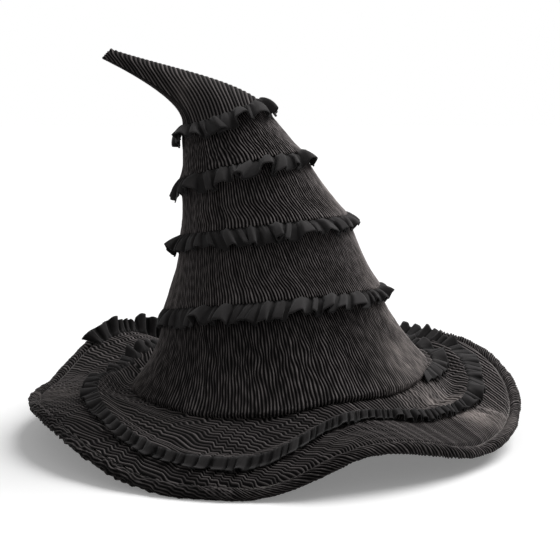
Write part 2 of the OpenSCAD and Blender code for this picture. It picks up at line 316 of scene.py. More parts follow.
def make_cloth(
    name: str, columns: int, rows: int, shape: Callable[[Array, Array], Shape], facing: Facing
) -> Piece:
    """Make a piece of cloth from a flat grid that a shape bends into place.

    Args:
        name: name of the piece.
        columns: faces along the cloth.
        rows: faces across the cloth.
        shape: gives the points for column and row numbers.
        facing: side that the cloth's right side faces.

    Returns:
        The new piece, linked into the scene.
    """
    mesh = bpy.data.meshes.new(name)
    work = bmesh.new()
    bmesh.ops.create_grid(work, x_segments=columns, y_segments=rows, size=1.0)
    work.to_mesh(mesh)
    work.free()
    flat = np.empty(len(mesh.vertices) * 3)
    mesh.vertices.foreach_get("co", flat)
    flat = flat.reshape(-1, 3)
    column = np.rint((flat[:, 0] + 1) / 2 * columns).astype(int)
    row = np.rint((flat[:, 1] + 1) / 2 * rows).astype(int)
    bent = shape(column, row)
    mesh.vertices.foreach_set("co", (bent.place * MM).ravel())
    corner = np.empty(len(mesh.loops), int)
    mesh.loops.foreach_get("vertex_index", corner)
    mesh.uv_layers.new(name="cloth").data.foreach_set("uv", (bent.cloth[corner] * MM).ravel())
    # The ridge and tone attributes carry painted shade, highlight and light; the wear attribute also
    # places a painted sheen.
    for label, values in (
        ("ridge", bent.ridge),
        ("wear", rubbed_and_sheen(bent.place)),
        ("tone", bent.tone),
    ):
        mesh.attributes.new(label, "FLOAT", "POINT").data.foreach_set(
            "value", np.broadcast_to(values, column.shape).astype(np.float32)
        )
    work = bmesh.new()
    work.from_mesh(mesh)
    bmesh.ops.remove_doubles(work, verts=work.verts, dist=JOIN)
    work.to_mesh(mesh)
    work.free()
    turn_to(mesh, facing)
    mesh.shade_smooth()
    piece = bpy.data.objects.new(name, mesh)
    bpy.context.scene.collection.objects.link(piece)
    return piece


@dataclass(frozen=True)
class Cut:
    """The flat cut of a piece of cloth.

    Attributes:
        width: width of the cut.
        length: length of the cut.
        area: flat area in square millimetres, where the cut isn't a rectangle.
    """

    width: float
    length: float
    area: float = 0.0

    def declare(self, piece: Piece, held: Held, rests_on: list[str]) -> None:
        """Do nothing: the piece, how it is held and what it rests on are not used here."""


def thicken(piece: Piece, thickness: float) -> None:
    """Give a piece of cloth a thickness on both sides of its middle.

    Args:
        piece: the piece of cloth.
        thickness: its whole thickness.
    """
    wall = piece.modifiers.new("thickness", "SOLIDIFY")
    wall.thickness = thickness * MM
    wall.offset = 0.0


def dress(piece: Piece, finish: Material) -> None:
    """Give a piece its finish.

    Args:
        piece: the piece to dress.
        finish: its finish.
    """
    piece.data.materials.clear()
    piece.data.materials.append(finish)
    LOG.info("%s: %d faces, %s", piece.name, len(piece.data.polygons), finish.name)


class Graph:
    """A shader node tree with short ways to add and join nodes."""

    def __init__(self, tree: bpy.types.NodeTree) -> None:
        """Hold the tree that nodes are added to."""
        self.tree = tree

    def feed(self, node: Node, inputs: Inputs) -> None:
        """Set or join inputs of a node.

        Args:
            node: the node.
            inputs: numbers, colours or sockets for its inputs, by name or number.
        """
        for label, value in inputs.items():
            if isinstance(value, Socket):
                self.tree.links.new(value, node.inputs[label])
            else:
                node.inputs[label].default_value = value

    def add(self, kind: str, inputs: Inputs | None = None, **settings: object) -> Node:
        """Add a node.

        Args:
            kind: Blender's name of the node.
            inputs: numbers, colours or sockets for its inputs, by name or number.
            **settings: properties of the node.

        Returns:
            The new node.
        """
        node = self.tree.nodes.new(kind)
        for label, value in settings.items():
            setattr(node, label, value)
        self.feed(node, inputs or {})
        return node

    def sum(self, kind: str, first: Input, second: Input = 0.0, third: Input = 0.0) -> Socket:
        """Add a Math node of a kind on up to three inputs and return its result."""
        inputs = {0: first, 1: second, 2: third}
        return self.add("ShaderNodeMath", inputs, operation=kind).outputs[0]

    def ranged(self, value: Input, least: float, most: float) -> Socket:
        """Return a value of 0 to 1 stretched from the least to the most."""
        return self.sum("MULTIPLY_ADD", value, most - least, least)

    def blend(self, share: Input, first: Input, second: Input) -> Socket:
        """Add a colour Mix node and return its result."""
        inputs = {"Factor": share, 6: first, 7: second}
        return self.add("ShaderNodeMix", inputs, data_type="RGBA").outputs[2]

    def mask(self, label: str) -> Socket:
        """Return the value of a piece's own attribute."""
        return self.add("ShaderNodeAttribute", attribute_name=label).outputs["Fac"]

    def cloud(self, scale: float, detail: float) -> Socket:
        """Add a noise over the hat.

        Args:
            scale: its waves per metre.
            detail: how many finer noises are added to it.

        Returns:
            Its value, 0 to 1.
        """
        where = self.add("ShaderNodeTexCoord").outputs["Object"]
        inputs = {"Vector": where, "Scale": scale, "Detail": detail}
        return self.add("ShaderNodeTexNoise", inputs).outputs["Fac"]

    def lit(self, colour: Input, light: Input) -> Socket:
        """Return a colour made lighter or darker by a factor."""
        return self.add("ShaderNodeHueSaturation", {"Color": colour, "Value": light}).outputs[0]

    def bump(self, height: Input, strength: float, relief: float) -> Socket:
        """Return the facing of a surface that follows a height, with its relief in metres."""
        inputs = {"Height": height, "Strength": strength, "Distance": relief}
        return self.add("ShaderNodeBump", inputs).outputs[0]


def new_group(
    name: str, inputs: tuple[tuple[str, str], ...], outputs: tuple[tuple[str, str], ...]
) -> tuple[bpy.types.NodeTree, Graph, Node, Node]:
    """Make an empty shader node group.

    Args:
        name: name of the group.
        inputs: name and kind of each input.
        outputs: name and kind of each output.

    Returns:
        The group, its graph, its input node and its output node.
    """
    tree = bpy.data.node_groups.new(name, "ShaderNodeTree")
    for label, kind in inputs:
        tree.interface.new_socket(label, in_out="INPUT", socket_type=f"NodeSocket{kind}")
    for label, kind in outputs:
        tree.interface.new_socket(label, in_out="OUTPUT", socket_type=f"NodeSocket{kind}")
    graph = Graph(tree)
    return tree, graph, graph.add("NodeGroupInput"), graph.add("NodeGroupOutput")


def weave_group() -> bpy.types.NodeTree:
    """Make the group for a plain weave.

    Returns:
        A group that takes the cloth's place and threads per metre, and gives the height of the
        threads and a mottled tint.
    """
    tree, graph, given, result = new_group(
        "plain_weave",
        (("Place", "Vector"), ("Threads", "Float")),
        (("Height", "Float"), ("Mottle", "Float")),
    )
    part = graph.add("ShaderNodeSeparateXYZ", {0: given.outputs["Place"]})
    turns = graph.sum("MULTIPLY", given.outputs["Threads"], math.pi)
    warp = graph.sum("SINE", graph.sum("MULTIPLY", part.outputs[0], turns))
    weft = graph.sum("SINE", graph.sum("MULTIPLY", part.outputs[1], turns))
    height = graph.sum("MULTIPLY_ADD", graph.sum("MULTIPLY", warp, weft), 0.5, 0.5)
    graph.feed(result, {"Height": height, "Mottle": graph.cloud(scale=55.0, detail=4.0)})
    return tree


# How sharply the painted highlight on a pleat's ridge ends, how far wear fills a valley's painted shade
# with the ridge's colour, and what one step of tone adds to the light.
HIGHLIGHT_CREST = 4.5
FILL = 0.55
TONE_STEP = 0.16


def pleat_group() -> bpy.types.NodeTree:
    """Make the group for the colour and dullness of pleated cloth, its painted shade and highlights.

    Returns:
        A group that mixes painted valley shade, painted ridge highlight and worn colours by a piece's
        masks.
    """
    tree, graph, given, result = new_group(
        "pleat_shade_and_tone",
        (
            ("Ridge", "Float"),
            ("Wear", "Float"),
            ("Tone", "Float"),
            ("Mottle", "Float"),
            ("Valley Shade Colour", "Color"),
            ("Ridge Highlight Colour", "Color"),
            ("Rubbed Sheen Colour", "Color"),
        ),
        (("Colour", "Color"), ("Roughness", "Float")),
    )
    mottle = given.outputs["Mottle"]
    worn = graph.sum("MULTIPLY", given.outputs["Wear"], graph.ranged(mottle, -0.3, 1.3))
    # Painted highlight: the ridge colour is kept to a narrow crest.
    ridge_highlight = graph.sum("POWER", given.outputs["Ridge"], HIGHLIGHT_CREST)
    filled = graph.sum("MAXIMUM", ridge_highlight, graph.sum("MULTIPLY", worn, FILL))
    # Painted shade in the valleys, a painted highlight on the ridges.
    cloth = graph.blend(filled, given.outputs["Valley Shade Colour"], given.outputs["Ridge Highlight Colour"])
    # The pale worn colour is partly real wear and partly a painted sheen.
    pale = graph.sum("MULTIPLY", worn, filled)
    colour = graph.blend(pale, cloth, given.outputs["Rubbed Sheen Colour"])
    thread = graph.sum("MULTIPLY_ADD", given.outputs["Tone"], TONE_STEP, 1.0)
    light = graph.sum("MULTIPLY", thread, graph.ranged(mottle, 0.75, 1.25))
    dull = graph.ranged(worn, 0.74, 0.52)
    graph.feed(result, {"Colour": graph.lit(colour, light), "Roughness": dull})
    return tree


WEAVE = weave_group()
PLEAT = pleat_group()


@dataclass(frozen=True)
class Finish:
    """What every finish of the hat has.

    Attributes:
        name: name of the finish.
        colour: colour of the stuff.
    """

    name: str
    colour: Colour

    def start(self, **fixed: float) -> tuple[Material, Graph, Node]:
        """Make a material with one shader.

        Args:
            **fixed: numbers that are the same all over, by the shader's names with _ for spaces.

        Returns:
            The material, its graph and its shader.
        """
        material = bpy.data.materials.new(self.name)
        material.use_nodes = True
        graph = Graph(material.node_tree)
        shader = material.node_tree.nodes["Principled BSDF"]
        for label, value in fixed.items():
            shader.inputs[label.replace("_", " ")].default_value = value
        return material, graph, shader

    @staticmethod
    def weave(graph: Graph, threads: float) -> Node:
        """Place the weave group on the piece's own cloth and return it."""
        place = graph.add("ShaderNodeUVMap", uv_map="cloth").outputs[0]
        return graph.add("ShaderNodeGroup", {"Place": place, "Threads": threads}, node_tree=WEAVE)


@dataclass(frozen=True)
class PleatedFinish(Finish):
    """Crinkle-pleated cloth: painted shade in its valleys, painted highlights on its ridges, paler where
    worn.

    Attributes:
        valley: painted shade colour in the valleys; the finish's own colour is that of the ridges, a
            painted highlight.
        rubbed_and_sheen: pale colour where the ridges are worn, partly real wear and partly a painted
            sheen.
        threads: threads per metre.
        relief: height of the threads in metres.
    """

    valley: Colour
    rubbed_and_sheen: Colour
    threads: float = 2400.0
    relief: float = 0.0001

    def material(self) -> Material:
        """Make the material.

        Returns:
            The new material.
        """
        material, graph, shader = self.start(
            Specular_IOR_Level=0.05, Sheen_Weight=0.02, Sheen_Roughness=0.5
        )
        weave = self.weave(graph, self.threads)
        # Valley colour: painted shade; ridge colour: painted highlight; worn colour: partly a painted
        # sheen.
        given = {
            "Mottle": weave.outputs["Mottle"],
            "Valley Shade Colour": self.valley,
            "Ridge Highlight Colour": self.colour,
            "Rubbed Sheen Colour": self.rubbed_and_sheen,
        }
        for label in ("Ridge", "Wear", "Tone"):
            given[label] = graph.mask(label.lower())
        tone = graph.add("ShaderNodeGroup", given, node_tree=PLEAT)
        looks = {
            "Base Color": tone.outputs["Colour"],
            "Roughness": tone.outputs["Roughness"],
            "Normal": graph.bump(weave.outputs["Height"], 0.25, self.relief),
        }
        graph.feed(shader, looks)
        return material


@dataclass(frozen=True)
class WovenFinish(Finish):
    """Plain woven cloth, with painted shade in its folds.

    Attributes:
        threads: threads per metre.
        relief: height of the threads in metres.
        sheen: share of soft light that the fibres catch at a slant.
    """

    threads: float
    relief: float
    sheen: float

    def material(self) -> Material:
        """Make the material.

        Returns:
            The new material.
        """
        material, graph, shader = self.start(
            Specular_IOR_Level=0.06, Sheen_Weight=self.sheen, Sheen_Roughness=0.5
        )
        weave = self.weave(graph, self.threads)
        mottle, height = weave.outputs["Mottle"], weave.outputs["Height"]
        thread = graph.sum("MULTIPLY", graph.ranged(mottle, 0.62, 1.32), graph.ranged(height, 0.86, 1.1))
        # Painted shade in the folds, read from the piece's ridge attribute.
        light = graph.sum("MULTIPLY", thread, graph.ranged(graph.mask("ridge"), 0.2, 1.0))
        looks = {
            "Base Color": graph.lit(self.colour, light),
            "Roughness": graph.ranged(mottle, 0.92, 0.77),
            "Normal": graph.bump(height, 0.5, self.relief),
        }
        graph.feed(shader, looks)
        return material


@dataclass(frozen=True)
class FeltFinish(Finish):
    """Pressed fibres, with or without a smooth face.

    Attributes:
        grain: size of the fibres' mottling, in waves per metre.
        relief: height of the fibres in metres.
    """

    grain: float
    relief: float = 0.0004

    def material(self) -> Material:
        """Make the material.

        Returns:
            The new material.
        """
        material, graph, shader = self.start(Specular_IOR_Level=0.2)
        fibre = graph.cloud(self.grain, detail=5.0)
        looks = {
            "Base Color": graph.lit(self.colour, graph.ranged(fibre, 0.6, 1.4)),
            "Roughness": graph.ranged(fibre, 0.75, 0.95),
            "Normal": graph.bump(fibre, 0.4, self.relief),
        }
        graph.feed(shader, looks)
        return material


@dataclass(frozen=True)
class WireFinish(Finish):
    """Drawn steel wire with a slightly dull skin."""

    def material(self) -> Material:
        """Make the material.

        Returns:
            The new material.
        """
        material, graph, shader = self.start(Metallic=1.0)
        skin = graph.cloud(scale=300.0, detail=3.0)
        looks = {
            "Base Color": graph.lit(self.colour, graph.ranged(skin, 0.8, 1.2)),
            "Roughness": graph.ranged(skin, 0.25, 0.5),
        }
        graph.feed(shader, looks)
        return material


@dataclass(frozen=True)
class Pleats:
    """Narrow pleats set into the cloth, with round ridges and sharp valleys.

    Attributes:
        count: pleats along the cloth.
        columns: grid columns across one pleat.
        rise: half the height from valley to ridge.
        seed: start of the random draw.
        uneven: how much the widths differ, as a share of a pleat.
        broken: how much a pleat's height changes along it.
        round: how round the ridges are: 1 is sharp, and more is flatter.
        crinkle_highlight: how much a change of height shows in the tone, as a painted highlight where the
            pleat rises.
    """

    count: int
    columns: int
    rise: float
    seed: int
    uneven: float = 0.2
    broken: float = 0.06
    round: float = 1.3
    crinkle_highlight: float = 9.0

    def section(self, column: Array, share: Array) -> tuple[Array, Array, Array]:
        """Give the section across the pleats.

        Args:
            column: number of each point's column.
            share: share of the way along the pleats.

        Returns:
            Place along the cloth in pleats, swell from 0 in a valley to about 1 on a ridge, and
            tone.
        """
        draw = np.random.default_rng(self.seed)
        valley = np.arange(self.count + 1) + self.uneven * draw.uniform(-0.5, 0.5, self.count + 1)
        valley[-1] = valley[0] + self.count
        size = draw.uniform(0.92, 1.07, self.count)
        tone = draw.normal(0, 0.6, self.count)
        number = np.minimum(column // self.columns, self.count - 1)
        across = column / self.columns - number
        waves, start = draw.uniform(2.0, 8.0, self.count), draw.uniform(0, TAU, self.count)
        crinkle = np.sin(TAU * waves[number] * share + start[number])
        swell = (size[number] + self.broken * crinkle) * (1 - np.abs(2 * across - 1) ** self.round)
        # Painted highlight: a pleat is painted lighter where its crinkle rises.
        tone = tone[number] + self.crinkle_highlight * self.broken * crinkle
        return mix(valley[number], valley[number + 1], across), swell, tone


@dataclass(frozen=True)
class Seam:
    """A tilted ring of the crown, where two tiers and a ruffle are sewn together.

    Attributes:
        x: sideways place of its middle.
        z: height of its middle.
        r: radius.
        tilt: tilt in degrees, right side up.
        front: how far it rises round its front.
        lean: how far the wall above it leans to the right per unit of height.
        slope: how far that wall draws in per unit of height.
        turn: how far round to the left of the front it lies highest, in degrees.
    """

    x: float
    z: float
    r: float
    tilt: float
    front: float = 0.0
    lean: float = 0.0
    slope: float = 0.0
    turn: float = 12.0

    def lift(self, angle: Array) -> Array:
        """Return the share of its rise at an angle in radians."""
        return np.maximum(0, -np.sin(angle + math.radians(self.turn)))


@dataclass(frozen=True)
class BrimLine:
    """The waved line of the brim that its layers, hem and ruffle follow.

    Attributes:
        seam_r: radius at which the brim meets the crown.
        seam_z: height of that seam.
        edge_r: radius to the middle of the rolled hem.
        hem_r: radius of the rolled hem.
        curve: how the brim falls from the seam: 1 is straight.
        up: top of the brim above its middle sheet.
        down: underside of the brim below its middle sheet.
        settle: how far the cloth has settled below the stiff line.
        waves: angle round the brim and height of the hem there.
        lobe: angle of the flat front lobe, its half width in degrees and how far it spreads.
        foot_r: radius at which the foot of the crown rests.
        foot_rise: how much higher that lies at the right than at the front.
        foot_reach: how far beyond the foot the brim still follows it.
    """

    seam_r: float = 98.2
    seam_z: float = 44.0
    edge_r: float = 204.5
    hem_r: float = 5.0
    curve: float = 1.15
    up: float = 3.4
    down: float = 2.8
    settle: float = 0.5
    waves: Table = (
        (252, 0), (264, 0), (292, 29), (324, 10), (400, 51), (435, 0),
        (465, 0), (498, 54), (530, 23), (564, 29), (612, 0),
    )
    lobe: tuple[float, float, float] = (251.0, 30.0, 6.0)
    foot_r: float = 125.0
    foot_rise: float = 9.0
    foot_reach: float = 25.0

    def hem_z(self, angle: Array) -> Array:
        """Give the height of the hem's underside.

        Args:
            angle: angle round the brim in radians.

        Returns:
            The height at each angle.
        """
        start = self.waves[0][0]
        turned = start + (np.degrees(angle) - start) % 360
        return eased(self.waves, turned) - self.settle

    def middle(self, radius: Array, angle: Array) -> Array:
        """Give the height of the brim's middle sheet.

        Args:
            radius: radius of each point.
            angle: angle of each point in radians.

        Returns:
            The height at each point.
        """
        out = np.maximum(0, (radius - self.seam_r) / (self.edge_r - self.seam_r))
        inner = (radius - self.seam_r) / (self.foot_r - self.seam_r)
        beyond = 1 - (radius - self.foot_r) / self.foot_reach
        tilted = self.foot_rise * np.cos(angle) * smooth(np.minimum(inner, beyond))
        return mix(self.seam_z, self.hem_z(angle) + self.hem_r, out**self.curve) + tilted

    def top(self, radius: Array, angle: Array) -> Array:
        """Return the height of the brim's upper face at a radius and an angle in radians."""
        return self.middle(radius, angle) + self.up

    def spread(self, point: Array) -> Array:
        """Move points of the brim outwards where its front lobe lies flat.

        Args:
            point: X, Y and Z of each point.

        Returns:
            The moved points.
        """
        middle, width, push = self.lobe
        radius = np.hypot(point[:, 0], point[:, 1])
        near = hill(np.degrees(np.arctan2(point[:, 1], point[:, 0])) % 360, middle, width)
        out = np.clip((radius - self.seam_r) / (self.edge_r - self.seam_r), 0, 1.1)
        grown = 1 + push * near * out**2 / radius
        return point * np.stack((grown, grown, np.ones(len(grown))), axis=-1)


BRIM = BrimLine()


@dataclass(frozen=True)
class Foot:
    """The flared foot of the crown, where it rolls under on the brim.

    Attributes:
        r: radius of the foot.
        shift: how much further it flares to the right than to the left.
        height: height of the roll above the brim.
        flare: how quickly it flares.
        roll: radius of the roll.
    """

    r: float = BRIM.foot_r
    shift: float = 4.0
    height: float = 7.0
    flare: float = 1.65
    roll: float = 3.95

    def edge(self, angle: Array) -> Array:
        """Return the radius of the foot at an angle in radians."""
        return self.r + self.shift * np.cos(angle)


FOOT = Foot()
# The crown's seams from the lowest up, how far a wall sags between two seams, and the gap that
# its edges leave to the seams' rings.
LOWER = Seam(-3, 113, 92, 7, 12, -0.097, 0.355)
MIDDLE = Seam(-9, 175, 70, 8, 8, -0.373, 0.353)
UPPER = Seam(-28, 226, 52, 13.5, 5, -0.386, 0.409)
TOP = Seam(-45, 270, 34, 19)
TIER_SAG = 1.2
SEAM_GAP = 1.0


@dataclass(frozen=True)
class Tier:
    """One pleated wall of the crown between two seams.

    Attributes:
        name: name of the piece.
        node: part of the hat that it dresses.
        low: seam at its lower edge.
        high: seam at its upper edge.
        pleats: pleats round it.
        rows: grid rows up it.
        slant: how far the pleats run to the right on their way down.
        kink: how far they kink sideways near the lower seam.
        cut: flat cut of the cloth.
        tone: lighter or darker cloth, about 0; the base tier's darker tone is painted shade under the
            lower ruffle.
        crinkle: how far the pleats waver over short lengths.
        tuck: how far its edges are tucked into the seams.
        flattened: share of the pleats' height that rubbing takes away.
        dent: depth of the dents in the wall.
        swell: how far the wall swells over its lower seam.
    """

    name: str
    node: str
    low: Seam
    high: Seam
    pleats: Pleats
    rows: int
    slant: float
    kink: float
    cut: Cut
    tone: float = 0.0
    crinkle: float = 0.26
    tuck: float = 3.5
    flattened: float = 0.72
    dent: float = 0.5
    swell: float = 0.9

    def wall(self, share: Array, angle: Array) -> tuple[Array, Array, Array, Array, Array]:
        """Give the plain wall.

        Args:
            share: share of the height.
            angle: angle round the wall in radians.

        Returns:
            Sideways place, height, radius and tilt of each ring, and distance along its axis.
        """
        low, high = self.low, self.high
        radius = mix(low.r, high.r, share) - 4 * TIER_SAG * share * (1 - share)
        radius = radius + self.swell * hill(share, 0.0, 0.1)
        up = mix(low.front, high.front, share) * low.lift(angle)
        return (
            mix(low.x, high.x, share) + mix(low.lean, high.lean, share) * up,
            mix(low.z, high.z, share) + up,
            radius - mix(low.slope, high.slope, share) * up,
            mix(low.tilt, high.tilt, share),
            SEAM_GAP * (1 - 2 * share),
        )

    def levels(self, row: Array) -> tuple[Array, Array]:
        """Return each row's share of the height and how far it is tucked in."""
        share = np.clip((row - 1) / (self.rows - 2), 0, 1)
        return share, self.tuck * ((row == 0) | (row == self.rows))

    def sway(self, turn: Array, share: Array) -> Array:
        """Give how far the pleats stray sideways.

        Args:
            turn: angle round the wall in radians.
            share: share of the height.

        Returns:
            The distance at each point.
        """
        seed = self.pleats.seed
        share = np.clip(share, 0, 1)
        bend = 0.8 + 0.45 * Drift(seed + 1, 1, 5, 0.3).at(turn, share)
        kinked = self.kink * bend * smooth((0.42 - share) / 0.36)
        ripple = Drift(seed + 2, 1, 5, 0.9).at(turn, share)
        crinkle = self.crinkle * Drift(seed + 3, 12, 40, 5.0).at(turn, share)
        return self.slant * (1 - share) + kinked + ripple + crinkle

    def shape(self, column: Array, row: Array) -> Shape:
        """Give the points of the wall.

        Args:
            column: each point's column.
            row: each point's row.

        Returns:
            The bent cloth.
        """
        share, tucked = self.levels(row)
        place, swell, tone = self.pleats.section(column, share)
        turn = TAU * place / self.pleats.count
        size = self.wall(share, turn)[2]
        angle = turn + self.sway(turn, share) / size
        x, z, radius, tilt, rise = self.wall(share, angle)
        rise = rise * (tucked == 0)
        worn = rubbed_and_sheen(ring(x, z, radius, tilt, angle, rise))
        depth = self.pleats.rise * (1 - self.flattened * worn)
        dent = self.dent * Drift(self.pleats.seed + 4, 3, 11, 1.6).at(angle, share)
        radius = radius + depth * (2 * swell - 1) + dent - tucked
        point = ring(x, z, radius, tilt, angle, rise)
        cloth = on_cloth(place * PLEAT_CLOTH, share * self.cut.width)
        # Painted light and shade by the angle round the crown, lighter at the right; the base tier's own
        # tone is painted shade under the lower ruffle.
        tone = tone + self.tone + eased(CROWN_PAINTED_LIGHT, np.degrees(angle) % 360)
        # Painted shadow: the wall is darker towards its top, under the ruffle at the seam above.
        tone = tone - 1.2 * smooth((share - 0.72) / 0.28)
        return Shape(point, cloth, np.clip(swell, 0, 1), tone)

    def build(self, finish: Material) -> Piece:
        """Make the wall and dress it.

        Args:
            finish: finish of the cloth.

        Returns:
            The new piece.
        """
        columns = self.pleats.count * self.pleats.columns
        piece = make_cloth(self.name, columns, self.rows, self.shape, Facing.OUT)
        dress(piece, finish)
        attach(piece, Body.CROWN.value)
        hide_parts(self.node)
        self.cut.declare(piece, Held.FOLDED, ["crown_stiffener"])
        return piece


@dataclass(frozen=True)
class BaseTier(Tier):
    """The flared wall at the foot of the crown, rolled under on to the brim.

    Attributes:
        roll_rows: grid rows round the roll.
        roll_from: angle of the roll's section at which it leaves the wall, in degrees.
        run_in: how far the cloth runs in from the roll, under the crown.
    """

    roll_rows: int = 7
    roll_from: float = 42.0
    run_in: float = 9.0

    def levels(self, row: Array) -> tuple[Array, Array]:
        """Give the height of each row.

        Args:
            row: number of each point's row.

        Returns:
            Share of the height, from -1 to 0 on the roll, and how far the row is tucked in.
        """
        share = (row - self.roll_rows) / (self.rows - self.roll_rows - 1)
        rolled = np.where(row < self.roll_rows, (row - self.roll_rows) / self.roll_rows, share)
        return np.minimum(rolled, 1), self.tuck * (row == self.rows)

    def wall(self, share: Array, angle: Array) -> tuple[Array, Array, Array, Array, Array]:
        """Give the plain wall.

        Args:
            share: share of the height, below 0 on the roll.
            angle: angle round the wall in radians.

        Returns:
            Sideways place, height, radius and tilt of each ring, and distance along its axis.
        """
        up = np.clip(share, 0, 1)
        foot_z = BRIM.top(FOOT.r, angle) + FOOT.height
        radius = self.low.r + (FOOT.edge(angle) - self.low.r) * (1 - up) ** FOOT.flare
        z = mix(foot_z, self.low.z + self.low.front * self.low.lift(angle), up)
        over = np.maximum(0, z - self.low.z)
        radius = radius - self.low.slope * over
        lean = math.radians(self.roll_from)
        under = lean + (math.radians(-90) - lean) * np.clip(-share * 1.17, 0, 1)
        rolled = share < 0
        run_in = self.run_in * (share <= -0.99)
        radius = radius + rolled * (FOOT.roll * (np.cos(under) - math.cos(lean)) - run_in)
        z = z + rolled * FOOT.roll * (np.sin(under) - math.sin(lean))
        x = self.low.x * np.maximum(0, 2 * up - 1) + self.low.lean * over
        return x, z, radius, self.low.tilt * up, -SEAM_GAP * up


@dataclass(frozen=True)
class Flutes:
    """Loose flat folds along a gathered strip.

    Attributes:
        count: folds along the strip.
        columns: grid columns along one fold.
        swing: how steeply the sides of a fold stand, in degrees.
        seed: start of the random draw.
        uneven: how much the folds' lengths differ, as a share.
        sizes: share along the strip and mean size of the folds there.
        square: how squarely the folds stand over their seam: 1 is square, 0 leaning.
        soft: how many times the folds are smoothed.
        side: least and most share of a fold's cloth that stands up on each side.
        flat: least and most share that lies along its top.
    """

    count: int
    columns: int
    swing: float
    seed: int
    uneven: float = 0.3
    sizes: Table = ((0, 1), (1, 1))
    square: float = 0.5
    soft: int = 1
    side: tuple[float, float] = (0.22, 0.32)
    flat: tuple[float, float] = (0.16, 0.32)

    def edges(self) -> tuple[Array, Array, Array, Array]:
        """Give the sewn and the free edge along the strip.

        Returns:
            Place of each column at the sewn edge and at the free edge, and height of the free
            edge above the strip, all in mean folds, and how far the cloth is turned there, -1 to 1.
        """
        draw = np.random.default_rng(self.seed)
        size = draw.uniform(1 - self.uneven, 1 + self.uneven, self.count)
        size = size * eased(self.sizes, np.arange(self.count) / self.count)
        swing = np.radians(self.swing * draw.uniform(0.75, 1.2, self.count))
        lean = np.radians(draw.uniform(-34, 34, self.count))
        up = draw.uniform(*self.side, self.count)
        flat = draw.uniform(*self.flat, self.count)
        turned = draw.uniform(-1, 1, self.count + 1)
        puff = draw.uniform(0.6, 1.45, self.count)
        step = np.arange(self.count * self.columns)
        number = step // self.columns
        share = (step % self.columns + 0.5) / self.columns
        rising = share < up[number]
        level = ~rising & (share < (up + flat)[number])
        falling = ~rising & ~level & (share < (2 * up + flat)[number])
        heading = rising * swing[number] + level * lean[number] - falling * swing[number]
        for _ in range(self.soft):
            heading = np.convolve(np.pad(heading, 1, mode="wrap"), (0.2, 0.6, 0.2), mode="valid")
        along = np.append(0, np.cumsum(size[number] * np.cos(heading)))
        height = np.append(0, np.cumsum(size[number] * np.sin(heading)))
        sewn = np.append(0, np.cumsum(size[number]))
        marks = np.arange(self.count + 1) * self.columns
        columns = np.arange(len(along))
        height = height - np.interp(columns, marks, height[marks])
        height = height * np.append(puff[number], puff[-1])
        scale = self.count / along[-1]
        sewn = sewn * self.count / sewn[-1]
        free = along * scale
        free = free + self.square * np.interp(columns, marks, sewn[marks] - free[marks])
        turned[-1] = turned[0]
        return sewn, free, height * scale, np.interp(columns, marks, turned)


